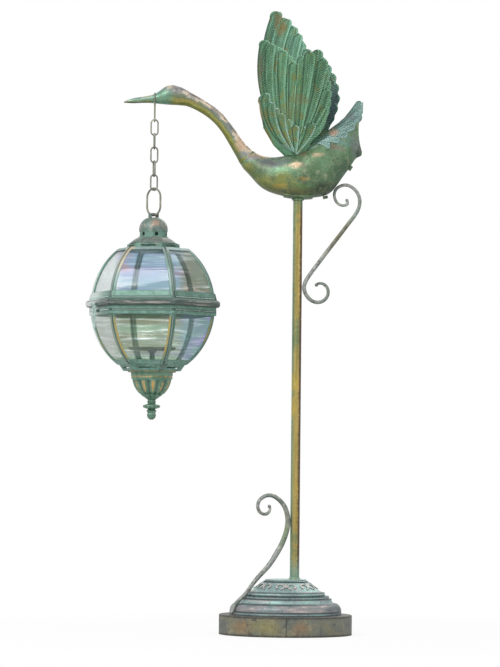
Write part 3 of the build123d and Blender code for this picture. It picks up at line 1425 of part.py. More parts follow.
def build():
    """Every piece by its name."""
    body_near, body_far = make_body_halves()
    pieces = {
        "base_plinth": make_plinth(),
        "base_ballast": make_ballast(),
        "base_dome": make_dome(),
        "base_collar": make_collar(),
        "tie_bolt": make_tie_bolt(),
        "pole": make_pole(),
        "pole_plug": make_pole_plug(),
        "lower_scroll": make_lower_scroll(),
        "upper_scroll": make_upper_scroll(),
        "bird_saddle": make_saddle(),
        "bird_seam_tabs": make_seam_tabs(),
        "bird_body_near": body_near,
        "bird_body_far": body_far,
        "bird_neck": make_neck(),
        "bird_head": make_head(),
        "wing_near": make_near_wing(),
        "wing_far": make_far_wing(),
        "tail_near": make_tail(-1),
        "tail_far": make_tail(1),
        "beak_loop": make_beak_loop(),
        "hanging_ring": make_ring(),
        "cap_strap": make_strap(),
        "lantern_cap": make_cap(),
        "vent_collar": make_vent_collar(),
        "cap_skirt": make_skirt(),
        "top_ring": make_top_ring(),
        "upper_frame": make_upper_frame(),
        "flange": make_flange(),
        "lower_frame": make_lower_frame(),
        "foot_ring": make_foot_ring(),
        "foot_plate": make_foot_plate(),
        "foot_cup": make_cup(),
        "fluted_bowl": make_fluted_bowl(),
        "finial": make_finial(),
        "centre_rod": make_rod(),
        "candle_stem": make_stem(),
        "candle_dish": make_dish(),
        "hinge_leaf_upper": make_hinge_leaf_upper(),
        "hinge_leaf_lower": make_hinge_leaf_lower(),
        "latch_bracket": make_latch_bracket(),
        "latch_hasp": make_hasp(),
        "latch_stud": make_latch_stud(),
    }
    for index in range(LINK_COUNT):
        pieces[f"chain_link_{index + 1}"] = make_link(index)
    for index, pane in enumerate(make_panes(UPPER_BAND_FOOT, GLASS_TOP)):
        pieces[f"upper_pane_{index + 1}"] = pane
    for index, pane in enumerate(make_panes(GLASS_BOTTOM, -GLASS_PARTING_GAP)):
        pieces[f"lower_pane_{index + 1}"] = pane
    return pieces


def main():
    os.makedirs("parts", exist_ok=True)
    for name, shape in build().items():
        solids = ShapeList([shape]).solids() if not isinstance(shape, list) else shape
        solid = solids[0] if len(solids) == 1 else Compound(children=list(solids))
        export_step(solid, f"parts/{name}.step")


main()
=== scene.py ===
import math
import random

import bmesh
import bpy
from mathutils import Matrix, Vector
from mathutils.bvhtree import BVHTree


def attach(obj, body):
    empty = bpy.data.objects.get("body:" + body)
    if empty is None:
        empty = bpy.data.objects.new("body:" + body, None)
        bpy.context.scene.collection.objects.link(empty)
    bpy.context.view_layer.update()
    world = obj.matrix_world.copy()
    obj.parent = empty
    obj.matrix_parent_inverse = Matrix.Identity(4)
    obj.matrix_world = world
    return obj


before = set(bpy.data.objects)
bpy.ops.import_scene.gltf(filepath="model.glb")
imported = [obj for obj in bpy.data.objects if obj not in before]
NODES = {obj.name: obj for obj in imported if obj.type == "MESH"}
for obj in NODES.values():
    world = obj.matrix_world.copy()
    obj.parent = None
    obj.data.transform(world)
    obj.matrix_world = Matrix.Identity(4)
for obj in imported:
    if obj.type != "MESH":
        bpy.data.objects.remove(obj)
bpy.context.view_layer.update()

# Places on the object, in metres
BIRD = Vector((0.0197, 0.0, 0.986))
LANTERN = Vector((-0.307, 0.0, 0.7339))
SIDES = 6
SIDE_ANGLE = math.pi / 3
CORNER_ANGLE = math.radians(-69.3)
GLOBE_RADIUS = 0.141
GLOBE_HALF_HEIGHT = 0.157
GLOBE_CENTRE = 0.003
SKIN = 0.0019
COLLAR_FOOT = 0.095
COLLAR_FOOT_RADIUS = 0.082
COLLAR_SLOPE = 37 / 27
RIB_BEADS_UPPER = (0.034, 0.128)
RIB_BEADS_LOWER = (-0.121, -0.019)
BAND_BEADS_UPPER = 0.0195
BAND_BEADS_LOWER = -0.0090
BAND_RADIUS_UPPER = 0.1470
BAND_RADIUS_LOWER = 0.1465
BAND_CORNER_GAP = 0.012
BEAD_RADIUS = 0.0016
BEAD_PITCH = 0.0047
LEAST_SLOPE = 0.35

# Heights of painted parts: single joints, or where a zone starts and where it ends
BASE_STEPS = [0.0455, 0.0520, 0.0700, 0.0812, 0.0870, 0.0950, 0.1190]
BASE_RING = ((0.0500, 0.0540), (0.0720, 0.0670))
BASE_FRIEZE = ((0.0955, 0.0965), (0.1190, 0.1180))
BOWL_FLUTES = (0.574, 0.568)
BOWL_FLUTE_COUNT = 12.0
BOWL_BELT = ((0.542, 0.549), (0.571, 0.564))
BOWL_BEADS = ((0.5755, 0.5765), (0.5800, 0.5790))
BOWL_RIM = ((0.5880, 0.5888), (0.5912, 0.5906))
PANE_RUBS = ((0.612, 0.622), (0.714, 0.702))
PANE_PARTING = (0.730, 0.740)
FLANGE_EDGE = ((0.7335, 0.7365), (0.7485, 0.7450))
FLANGE_JOINTS = (0.7350, 0.7478)
RIB_DUST = (0.760, 0.800)
RIB_TAN_HIGHLIGHT = (0.800, 0.835)

# View: the camera's place, the height that it looks at, its lens for each metre, and its roll in degrees
CAMERA_ACROSS = -0.086
CAMERA_DISTANCE = 7.4
CAMERA_HEIGHT = 0.395
AIM_HEIGHT = 0.678
LENS_PER_METRE = 23.85
CAMERA_ROLL = 0.56


def srgb(red, green, blue):
    """Linear colour of an 8-bit screen colour."""
    values = []
    for value in (red, green, blue):
        share = value / 255
        values.append(share / 12.92 if share <= 0.04045 else ((share + 0.055) / 1.055) ** 2.4)
    return (*values, 1.0)


# Camera


def make_camera():
    camera = bpy.data.objects.new("camera", bpy.data.cameras.new("camera"))
    bpy.context.scene.collection.objects.link(camera)
    rise = AIM_HEIGHT - CAMERA_HEIGHT
    camera.data.sensor_width = 36.0
    camera.data.lens = LENS_PER_METRE * math.hypot(CAMERA_DISTANCE, rise)
    camera.data.clip_end = 90.0
    pitch = math.pi / 2 + math.atan2(rise, CAMERA_DISTANCE)
    turn = Matrix.Rotation(pitch, 4, "X") @ Matrix.Rotation(math.radians(CAMERA_ROLL), 4, "Z")
    camera.matrix_world = Matrix.Translation((CAMERA_ACROSS, -CAMERA_DISTANCE, CAMERA_HEIGHT)) @ turn
    bpy.context.scene.camera = camera


make_camera()


# Shader building


class Shader:
    """One material's node tree, with short calls for the nodes that the patinas share."""

    def __init__(self, name):
        self.material = bpy.data.materials.new(name)
        self.material.use_nodes = True
        self.tree = self.material.node_tree
        self.bsdf = self.tree.nodes["Principled BSDF"]
        self.place = self.node("ShaderNodeTexCoord").outputs["Object"]

    def node(self, kind, inputs=(), **settings):
        node = self.tree.nodes.new(kind)
        for key, value in settings.items():
            setattr(node, key, value)
        for key, value in dict(inputs).items():
            self.put(node.inputs[key], value)
        return node

    def put(self, socket, value):
        if isinstance(value, bpy.types.NodeSocket):
            self.tree.links.new(value, socket)
        else:
            socket.default_value = value

    def math(self, operation, first, second=0.0, third=0.0, clamp=False):
        inputs = {0: first, 1: second, 2: third}
        return self.node("ShaderNodeMath", inputs, operation=operation, use_clamp=clamp).outputs[0]

    def noise(self, scale, detail=3.0, roughness=0.55, vector=None, distortion=0.0, output="Fac"):
        inputs = {
            "Vector": vector or self.place,
            "Scale": scale,
            "Detail": detail,
            "Roughness": roughness,
            "Distortion": distortion,
        }
        return self.node("ShaderNodeTexNoise", inputs).outputs[output]

    def times(self, first, *others):
        for other in others:
            first = self.math("MULTIPLY", first, other)
        return first

    def plus(self, first, second):
        return self.math("ADD", first, second)

    def minus(self, first, second):
        return self.math("SUBTRACT", first, second)

    def apart(self, first, second):
        """Distance between two values."""
        return self.math("ABSOLUTE", self.minus(first, second))

    def swing(self, noise, amount):
        """Noise moved to both sides of nought, scaled."""
        return self.times(self.minus(noise, 0.5), amount)

    def length(self, east, north):
        return self.math("SQRT", self.plus(self.times(east, east), self.times(north, north)))

    def between(self, value, rise, fall):
        """1 from one level to another, with a soft step at each."""
        return self.times(self.step(value, *rise), self.step(value, *fall))

    def stretched(self, scale, detail=3.0, roughness=0.55, vector=None):
        """Noise with its own scale along each axis."""
        inputs = {"Vector": vector or self.place, "Scale": scale}
        mapping = self.node("ShaderNodeMapping", inputs)
        return self.noise(1.0, detail, roughness, mapping.outputs[0])

    def step(self, value, low, high, bottom=0.0, top=1.0):
        """Smooth step from bottom to top as value goes from low to high."""
        inputs = {0: value, 1: low, 2: high, 3: bottom, 4: top}
        return self.node("ShaderNodeMapRange", inputs, interpolation_type="SMOOTHSTEP").outputs[0]

    def mix(self, share, first, second, blend="MIX"):
        node = self.node("ShaderNodeMix", data_type="RGBA", blend_type=blend)
        self.put(node.inputs[0], share)
        self.put(node.inputs[6], first)
        self.put(node.inputs[7], second)
        return node.outputs[2]

    def axis(self, index, vector=None):
        return self.node("ShaderNodeSeparateXYZ", {0: vector or self.place}).outputs[index]

    def normal(self, index):
        """Part of the surface's own direction, as it stands at rest."""
        return self.axis(index, self.node("ShaderNodeTexCoord").outputs["Normal"])

    def attribute(self, name):
        return self.node("ShaderNodeAttribute", attribute_name=name).outputs["Fac"]

    def ragged(self, amount=0.03, scale=28.0):
        """Places pushed about by noise, so that painted zones have broken edges."""
        noise = self.noise(scale, 4.0, 0.62, output="Color")
        middle = (0.5, 0.5, 0.5)
        centred = self.node("ShaderNodeVectorMath", {0: noise, 1: middle}, operation="SUBTRACT")
        shifted = self.node(
            "ShaderNodeVectorMath",
            {0: centred.outputs[0], 1: (amount, amount, amount), 2: self.place},
            operation="MULTIPLY_ADD",
        )
        return shifted.outputs[0]

    def zone(self, places, centre, reach, hardness=0.45):
        """1 inside an oval patch, falling to 0 at its edge."""
        scale = [1 / size for size in reach]
        location = [-middle * share for middle, share in zip(centre, scale)]
        inputs = {"Vector": places, "Location": location, "Scale": scale}
        mapping = self.node("ShaderNodeMapping", inputs)
        length = self.node("ShaderNodeVectorMath", {0: mapping.outputs[0]}, operation="LENGTH")
        return self.step(length.outputs["Value"], 1.0, hardness)

    def bump(self, height, strength, distance, normal=None):
        inputs = {"Height": height, "Strength": strength, "Distance": distance}
        if normal is not None:
            inputs["Normal"] = normal
        return self.node("ShaderNodeBump", inputs).outputs[0]

    def mottle(self, scale):
        """Blotches of a worn coat."""
        return self.noise(scale, 5.0, 0.62, distortion=0.5)

    def grain(self):
        """Fine grain that the castings share."""
        return self.noise(330.0, 4.0, 0.65)

    def cast(self, relief, strength, distance):
        """Relief of a casting, over fine pits."""
        pits = self.bump(self.noise(900.0), 0.3, 0.0005)
        return self.bump(relief, strength, distance, pits)

    def finish(self, colour, roughness, metallic, normal):
        self.put(self.bsdf.inputs["Base Color"], colour)
        self.put(self.bsdf.inputs["Roughness"], roughness)
        self.put(self.bsdf.inputs["Metallic"], metallic)
        self.put(self.bsdf.inputs["Normal"], normal)
        return self.material


STAIN_SHARE = 0.7


def patina(
    name, base, second, dark, pale, zones=(), rub=None, rub_share=0.5, metallic=0.25,
    rough=(0.46, 0.60), lines=(), seams=(), soft=0.45,
):
    """Metal under a worn coat: mottled tones, stains, dust, painted zones, painted shade on downward
    faces, and dark lines.
    """
    s = Shader(name)
    broad = s.noise(16.0, 5.0, 0.6)
    middle = s.noise(70.0, 5.0, 0.62, distortion=0.6)
    fine = s.grain()
    colour = s.mix(s.step(broad, 0.38, 0.62), base, second)
    colour = s.mix(s.step(middle, 0.50, 0.78, 0.0, 0.75), colour, pale)
    stain = s.stretched((30.0, 30.0, 7.0), 5.0, 0.65)
    colour = s.mix(s.step(stain, 0.54, 0.76, 0.0, STAIN_SHARE), colour, dark)
    blots = s.noise(38.0, 6.0, 0.68, distortion=1.2)
    colour = s.mix(s.step(blots, 0.46, 0.34, 0.0, 0.65), colour, dark)
    places = s.ragged()
    for tint, centre, reach, strength in zones:
        mask = s.zone(places, centre, reach, soft)
        speckled = s.times(mask, s.step(blots, 0.38, 0.56, strength * 0.4, strength))
        colour = s.mix(speckled, colour, tint)
    # Painted shade: darker colour on faces that turn downwards.
    underside_shade = s.plus(s.normal(2), s.swing(middle, 0.8))
    colour = s.mix(s.step(underside_shade, -0.45, -0.95, 0.0, 0.6), colour, dark)
    for axis, marks in ((2, lines), (0, seams)):
        for level, reach, strength in marks:
            away = s.apart(s.axis(axis), level)
            colour = s.mix(s.step(away, reach, reach * 0.3, 0.0, strength), colour, dark)
    shine = s.step(fine, 0.60, 0.76)
    if rub is not None:
        worn = s.times(s.step(middle, 0.48, 0.66), s.step(fine, 0.46, 0.62))
        colour = s.mix(s.times(worn, rub_share), colour, rub)
        shine = s.math("MAXIMUM", shine, worn)
    pits = s.step(s.plus(fine, s.times(middle, 0.3)), 0.46, 0.58, 1.0, 0.0)
    colour = s.mix(s.times(pits, 0.7), colour, dark)
    polish = s.plus(s.times(shine, -0.14), s.step(middle, 0.3, 0.7, *rough))
    tiny = s.noise(900.0, 3.0, 0.6)
    normal = s.bump(tiny, 0.35, 0.0006)
    normal = s.bump(middle, 0.6, 0.0022, normal)
    return s.finish(colour, polish, metallic, normal)


TEAL = srgb(98, 146, 128)
TEAL_PALE = srgb(150, 184, 174)
GREEN_DARK = srgb(46, 66, 52)
OLIVE = srgb(140, 136, 76)
GOLD = srgb(204, 158, 78)
GOLD_GREEN = srgb(150, 148, 78)
BROWN = srgb(62, 50, 38)
GREY = srgb(126, 134, 136)
GREY_VIOLET = srgb(120, 120, 128)
PINK = srgb(206, 168, 140)
CREAM_HIGHLIGHT = srgb(226, 208, 182)
RUST = srgb(156, 112, 62)
DARK = srgb(50, 54, 52)
GLARE_WHITE = srgb(222, 230, 226)

BODY_DEPTH = 0.09
NECK_DEPTH = 0.05

# Zones: colour, centre, reach along each axis, strength
LEADING_EDGE_GOLD = [
    (srgb(176, 164, 120), (-0.070, 0.07, 1.185), (0.016, 0.12, 0.040), 0.85),
    (srgb(142, 132, 74), (-0.052, 0.05, 1.120), (0.022, 0.12, 0.040), 0.85),
]


def side_zones(depth, rows):
    """Zones through the bird's width, from rows of colour, x, z, reach along x and z, and strength."""
    return [(tint, (x, 0, z), (wide, depth, high), share) for tint, x, z, wide, high, share in rows]


def body_zones():
    """Painted patches of the bird's body, among them a painted highlight in pink and cream, and painted
    shade along the bottom of the belly and the rear edge.
    """
    return side_zones(BODY_DEPTH, [
        (srgb(136, 138, 70), -0.025, 1.022, 0.090, 0.028, 0.85),
        (OLIVE, 0.010, 1.000, 0.110, 0.016, 0.8),
        (GREY, -0.030, 1.066, 0.060, 0.018, 0.7),
        (srgb(92, 92, 98), -0.050, 1.062, 0.034, 0.013, 0.85),
        (srgb(100, 108, 86), -0.072, 1.052, 0.050, 0.018, 0.8),
        (PINK, -0.074, 1.079, 0.036, 0.009, 0.9),
        (GREY, -0.084, 1.074, 0.026, 0.010, 0.8),
        (GOLD_GREEN, -0.098, 1.050, 0.030, 0.020, 0.9),
        (srgb(88, 108, 56), -0.088, 1.040, 0.034, 0.020, 0.6),
        # Painted highlight: pink and cream patch on the upper side of the body.
        (PINK, 0.016, 1.056, 0.034, 0.012, 0.9),
        (CREAM_HIGHLIGHT, 0.010, 1.058, 0.014, 0.006, 0.95),
        (srgb(134, 106, 84), 0.020, 1.086, 0.034, 0.009, 0.8),
        (PINK, 0.066, 1.078, 0.028, 0.012, 0.6),
        (GOLD, 0.032, 1.030, 0.026, 0.009, 0.8),
        (srgb(178, 152, 70), -0.020, 1.014, 0.030, 0.008, 0.6),
        (srgb(92, 132, 70), 0.030, 1.010, 0.040, 0.010, 0.6),
        # Painted shade along the bottom of the belly.
        (srgb(38, 54, 40), 0.084, 1.004, 0.060, 0.026, 0.9),
        (srgb(70, 100, 78), 0.120, 1.045, 0.045, 0.040, 0.7),
        (srgb(126, 106, 98), 0.104, 1.098, 0.026, 0.012, 0.7),
        (GREY_VIOLET, 0.150, 1.105, 0.020, 0.040, 0.6),
        # Painted shade along the rear edge of the body.
        (DARK, 0.162, 1.080, 0.014, 0.040, 0.85),
        (srgb(98, 138, 132), 0.118, 1.120, 0.036, 0.024, 0.7),
        (TEAL_PALE, 0.045, 1.108, 0.050, 0.016, 0.5),
    ])


def neck_material():
    """Neck and head: a grey back with cream, painted as sky reflection and highlight on upward faces, a
    teal face, and an olive-gold underside, darker olive furthest down as painted shade.
    """
    s = Shader("patina_neck")
    middle = s.mottle(60.0)
    flecks = s.noise(150.0, 5.0, 0.7)
    fine = s.grain()
    # Colours by which way the surface faces: the most downward faces take a darker olive as painted
    # shade, upward faces grey and cream as painted sky reflection and highlight.
    facing = s.plus(s.times(s.normal(2), 0.85), s.times(s.normal(0), 0.55))
    facing = s.plus(facing, s.swing(middle, 0.9))
    facing = s.plus(facing, s.swing(flecks, 0.5))
    colour = s.mix(s.step(facing, -0.75, -0.35), srgb(112, 116, 48), GOLD_GREEN)
    colour = s.mix(s.step(facing, -0.35, -0.05), colour, srgb(112, 124, 92))
    colour = s.mix(s.step(facing, 0.0, 0.25), colour, srgb(128, 134, 132))
    highlight_cream = s.step(s.noise(24.0, 3.0, 0.5), 0.40, 0.56)
    colour = s.mix(s.times(s.step(facing, 0.18, 0.42), highlight_cream), colour, CREAM_HIGHLIGHT)
    colour = s.mix(s.step(facing, 0.66, 0.90, 0.0, 0.9), colour, srgb(104, 84, 68))
    places = s.ragged(0.02)
    for tint, centre, reach, strength in side_zones(NECK_DEPTH, [
        (TEAL, -0.292, 1.212, 0.040, 0.034, 0.9),
        (srgb(112, 150, 132), -0.345, 1.207, 0.050, 0.012, 0.7),
        (GREY_VIOLET, -0.250, 1.232, 0.030, 0.009, 0.9),
        (srgb(158, 136, 66), -0.236, 1.202, 0.044, 0.006, 0.6),
        (DARK, -0.372, 1.199, 0.060, 0.0035, 0.8),
        (srgb(96, 100, 104), -0.170, 1.185, 0.016, 0.014, 0.7),
        (PINK, -0.110, 1.105, 0.020, 0.026, 0.7),
        (GREY, -0.104, 1.084, 0.024, 0.012, 0.8),
        (srgb(92, 112, 56), -0.128, 1.075, 0.026, 0.050, 0.7),
    ]):
        broken = s.step(flecks, 0.36, 0.56, strength * 0.5, strength)
        colour = s.mix(s.times(s.zone(places, centre, reach), broken), colour, tint)
    colour = s.mix(s.step(flecks, 0.58, 0.72, 0.0, 0.45), colour, srgb(198, 200, 176))
    pits = s.step(fine, 0.30, 0.44, 0.7, 0.0)
    colour = s.mix(pits, colour, BROWN)
    rough = s.step(middle, 0.3, 0.7, 0.32, 0.48)
    normal = s.cast(middle, 0.5, 0.0018)
    return s.finish(colour, rough, 0.35, normal)


def pole_material():
    """Olive-gold tube, teal at its foot and on its -x side, with painted shade in dark brown on its +x
    side, and long drawn marks.
    """
    s = Shader("patina_pole")
    long_marks = s.stretched((260.0, 260.0, 9.0), 5.0, 0.65)
    spots = s.noise(140.0, 5.0, 0.65)
    # Which way the surface faces along x, broken by spots: teal towards -x, painted shade towards +x.
    side = s.plus(s.normal(0), s.swing(spots, 0.6))
    colour = s.mix(s.step(long_marks, 0.35, 0.65), srgb(150, 134, 70), srgb(182, 160, 92))
    colour = s.mix(s.step(side, -0.30, -0.75, 0.0, 0.8), colour, srgb(122, 150, 122))
    patches = s.stretched((24.0, 24.0, 13.0), 4.0, 0.6)
    colour = s.mix(s.step(patches, 0.52, 0.66, 0.0, 0.75), colour, srgb(104, 128, 92))
    colour = s.mix(s.step(patches, 0.44, 0.34, 0.0, 0.6), colour, srgb(196, 168, 74))
    # Painted shade: dark brown on the side facing +x.
    colour = s.mix(s.step(side, 0.35, 0.70, 0.0, 0.95), colour, srgb(86, 62, 42))
    specks = s.noise(420.0, 4.0, 0.7)
    colour = s.mix(s.step(specks, 0.42, 0.32, 0.0, 0.8), colour, srgb(66, 62, 38))
    colour = s.mix(s.step(spots, 0.60, 0.75, 0.0, 0.6), colour, srgb(96, 92, 58))
    colour = s.mix(s.step(spots, 0.40, 0.28, 0.0, 0.6), colour, srgb(214, 196, 140))
    height = s.plus(s.axis(2), s.swing(spots, 0.05))
    colour = s.mix(s.step(height, 0.185, 0.130, 0.0, 0.8), colour, srgb(124, 160, 144))
    colour = s.mix(s.step(height, 0.945, 0.985, 0.0, 0.8), colour, srgb(104, 130, 96))
    normal = s.bump(long_marks, 0.25, 0.0008)
    normal = s.bump(s.noise(700.0), 0.3, 0.0005, normal)
    return s.finish(colour, s.step(spots, 0.3, 0.7, 0.36, 0.52), 0.45, normal)


BARB_PITCH = 0.0058
BARB_SLANT = 0.9
BARBS_IN_MIDDLE = 0.35
COVERT_TONE = 1.0


def feather_material(name, ridge, vane, low, tint_zones=(), dark=srgb(34, 56, 46)):
    """Cast feather: green vane with brown-gold mottling, cut by dark slanting barbs, with painted shade
    in its hollow middle, a pale painted highlight along the rim on its lit side, and painted shade in
    the recess on its other side.
    """
    s = Shader(name)
    along = s.attribute("along")
    aside = s.attribute("across")
    across = s.math("ABSOLUTE", aside)
    edge = s.attribute("edge")
    tone = s.attribute("tone")
    covert = s.step(tone, COVERT_TONE - 0.02, COVERT_TONE + 0.02)
    wobble = s.noise(90.0, 3.0)
    mottled = s.mottle(48.0)
    fine = s.noise(320.0, 4.0, 0.65)
    slant = s.minus(along, s.times(across, BARB_SLANT))
    slant = s.plus(slant, s.times(wobble, 0.0040))
    wave = s.math("SINE", s.times(slant, 2 * math.pi / BARB_PITCH))
    inside = s.step(edge, 0.0004, 0.0020)
    patches = s.step(s.noise(22.0, 4.0, 0.6), 0.36, 0.56, 0.5, 1.0)
    cut = s.times(s.step(wave, 0.1, -0.5), inside)
    off_middle = s.step(s.math("ABSOLUTE", s.axis(0)), 0.018, 0.062, BARBS_IN_MIDDLE, 1.0)
    cut = s.times(cut, s.times(patches, s.step(aside, -0.005, 0.002, 0.4, 1.0)))
    cut = s.times(cut, off_middle)
    local = s.node("ShaderNodeCombineXYZ", {0: along, 1: aside, 2: tone}).outputs[0]
    streaks = s.stretched((16.0, 330.0, 9.0), 3.0, 0.6, local)
    colour = s.mix(s.step(streaks, 0.42, 0.66, 0.0, 0.8), vane, ridge)
    warm = s.plus(mottled, s.times(covert, 0.07))
    colour = s.mix(s.step(warm, 0.52, 0.66, 0.0, 0.75), colour, low)
    # Painted shade: darker in the hollow middle of the vane.
    painted_shade_hollow = s.times(s.step(edge, 0.0022, 0.0080), s.step(mottled, 0.60, 0.40, 0.05, 0.30))
    colour = s.mix(painted_shade_hollow, colour, dark)
    # Painted light across each feather: a pale highlight rim on its lit side, painted shade in the
    # recess on its other side.
    lit_side = s.step(aside, -0.0020, 0.0010)
    painted_shade_recess = s.times(s.step(edge, 0.0050, 0.0008), s.minus(1.0, lit_side))
    colour = s.mix(s.times(painted_shade_recess, 0.8), colour, dark)
    rim = s.times(s.step(edge, 0.0052, 0.0010), lit_side)
    rim = s.times(rim, s.step(wobble, 0.30, 0.60, 0.45, 0.95))
    colour = s.mix(rim, colour, s.mix(covert, ridge, srgb(168, 206, 192)))
    places = s.ragged()
    for tint, centre, reach, strength in tint_zones:
        colour = s.mix(s.times(s.zone(places, centre, reach), strength), colour, tint)
    colour = s.mix(s.times(cut, 0.75), colour, dark)
    # Painted shade on the skirt down into the bed, which outlines each feather.
    colour = s.mix(s.step(edge, -0.0002, -0.0012, 0.0, 0.85), colour, dark)
    colour = s.mix(s.step(fine, 0.58, 0.74, 0.0, 0.4), colour, TEAL_PALE)
    colour = s.mix(s.step(fine, 0.42, 0.30, 0.0, 0.35), colour, BROWN)
    height = s.times(s.step(wave, -0.9, 0.6), inside, off_middle)
    normal = s.bump(s.noise(800.0), 0.3, 0.0005)
    normal = s.bump(streaks, 0.7, 0.0012, normal)
    normal = s.bump(height, 0.9, 0.0012, normal)
    return s.finish(colour, s.step(mottled, 0.3, 0.7, 0.42, 0.56), 0.25, normal)


def corner_distance(s):
    """Distance from the nearest corner along a side of the lantern, and the sides counted round it."""
    east = s.minus(s.axis(0), LANTERN.x)
    north = s.axis(1)
    angle = s.minus(s.math("ARCTAN2", north, east), CORNER_ANGLE)
    turn = s.math("DIVIDE", angle, SIDE_ANGLE)
    part = s.math("FRACT", s.plus(turn, 12.0))
    nearest = s.minus(0.5, s.apart(part, 0.5))
    across = s.math("SINE", s.times(nearest, SIDE_ANGLE))
    return s.times(across, s.length(east, north)), turn


def facing_out(s):
    """How far a surface of the lantern faces away from its middle line, from -1 to 1."""
    east = s.minus(s.axis(0), LANTERN.x)
    north = s.axis(1)
    along = s.plus(s.times(s.normal(0), east), s.times(s.normal(1), north))
    return s.math("DIVIDE", along, s.length(east, north))


def rib_material():
    """Lantern ribs: gold rubs by the lower panes, blue-grey dust on the upper ribs, dark bead strips, a
    painted tan highlight on the front-left rib's top, painted white glare on the left end, and inner
    faces painted pale as painted light.
    """
    s = Shader("patina_ribs")
    middle = s.mottle(80.0)
    fine = s.grain()
    colour = s.mix(s.step(middle, 0.40, 0.62), srgb(88, 126, 110), srgb(120, 158, 146))
    height = s.axis(2)
    worn = s.step(s.noise(26.0, 4.0, 0.6), 0.30, 0.50)
    high = s.times(s.step(height, *RIB_DUST), worn)
    colour = s.mix(s.times(high, 0.55), colour, srgb(158, 172, 174))
    away, turn = corner_distance(s)
    upright = s.step(s.apart(height, LANTERN.z), 0.018, 0.024)
    strip = s.times(s.step(away, 0.0036, 0.0024), upright)
    side_line = s.between(away, (0.0064, 0.0074), (0.0084, 0.0080))
    colour = s.mix(s.times(side_line, upright, 0.8), colour, srgb(52, 66, 58))
    front_rib = s.step(s.math("ABSOLUTE", s.plus(turn, 1.0)), 0.2, 0.1)
    # Painted highlight: tan on the top of the front-left rib.
    tan_highlight = s.times(s.step(height, *RIB_TAN_HIGHLIGHT), front_rib)
    colour = s.mix(s.times(tan_highlight, worn, 0.75), colour, srgb(204, 186, 156))
    for level in (BAND_BEADS_UPPER, BAND_BEADS_LOWER):
        near = s.apart(height, LANTERN.z + level)
        strip = s.math("MAXIMUM", strip, s.step(near, 0.0030, 0.0022))
    outward = s.step(facing_out(s), 0.05, 0.25)
    colour = s.mix(s.times(strip, outward, 0.85), colour, srgb(44, 62, 56))
    # Painted light: the inner faces are painted pale where little light reaches inside the glass.
    inward_painted_light = s.step(facing_out(s), -0.2, -0.5)
    colour = s.mix(s.times(inward_painted_light, 0.95), colour, srgb(150, 214, 182))
    inner_edge = s.between(away, (0.0036, 0.0046), (0.0100, 0.0070))
    span = s.between(height, *PANE_RUBS)
    front = s.between(turn, (-1.1, -1.0), (0.02, -0.02))
    reach = s.math("MAXIMUM", front, s.step(s.noise(9.0), 0.50, 0.58, 0.0, 0.7))
    gold = s.times(inner_edge, span, s.times(reach, worn))
    gold = s.times(gold, s.step(fine, 0.36, 0.52, 0.5, 1.0))
    colour = s.mix(gold, colour, srgb(186, 162, 84))
    # Painted glare: near-white on the outward faces at the lantern's left end.
    painted_glare = s.times(s.step(s.axis(0), -0.405, -0.440, 0.0, 0.75), outward)
    colour = s.mix(painted_glare, colour, GLARE_WHITE)
    brown = s.step(s.plus(fine, s.times(middle, 0.4)), 0.76, 0.90)
    colour = s.mix(s.times(brown, 0.6), colour, srgb(108, 88, 72))
    colour = s.mix(s.step(fine, 0.42, 0.30, 0.0, 0.6), colour, DARK)
    normal = s.cast(middle, 0.35, 0.0012)
    return s.finish(colour, s.step(middle, 0.3, 0.7, 0.40, 0.54), 0.3, normal)


def band_material():
    """Hexagonal rims: teal faces, grey-brown worn edges with pale drawn rubs, dark joints, and painted
    white glare on the left end.
    """
    s = Shader("patina_bands")
    middle = s.mottle(70.0)
    fine = s.grain()
    drawn = s.stretched((22.0, 22.0, 260.0), 4.0, 0.65)
    colour = s.mix(s.step(middle, 0.40, 0.62), srgb(84, 118, 108), srgb(108, 142, 134))
    height = s.axis(2)
    edge = s.between(height, *FLANGE_EDGE)
    edge_tone = s.mix(s.step(drawn, 0.48, 0.64), srgb(70, 80, 76), srgb(158, 150, 142))
    colour = s.mix(s.times(edge, 0.85), colour, edge_tone)
    # Painted glare: near-white at the lantern's left end.
    colour = s.mix(s.step(s.axis(0), -0.415, -0.445, 0.0, 0.75), colour, GLARE_WHITE)
    for level in FLANGE_JOINTS:
        near = s.apart(height, level)
        colour = s.mix(s.step(near, 0.0016, 0.0006, 0.0, 0.75), colour, srgb(44, 48, 46))
    colour = s.mix(s.step(fine, 0.60, 0.76, 0.0, 0.5), colour, TEAL_PALE)
    colour = s.mix(s.step(fine, 0.42, 0.30, 0.0, 0.6), colour, DARK)
    normal = s.cast(drawn, 0.4, 0.0012)
    return s.finish(colour, s.step(middle, 0.3, 0.7, 0.38, 0.52), 0.35, normal)


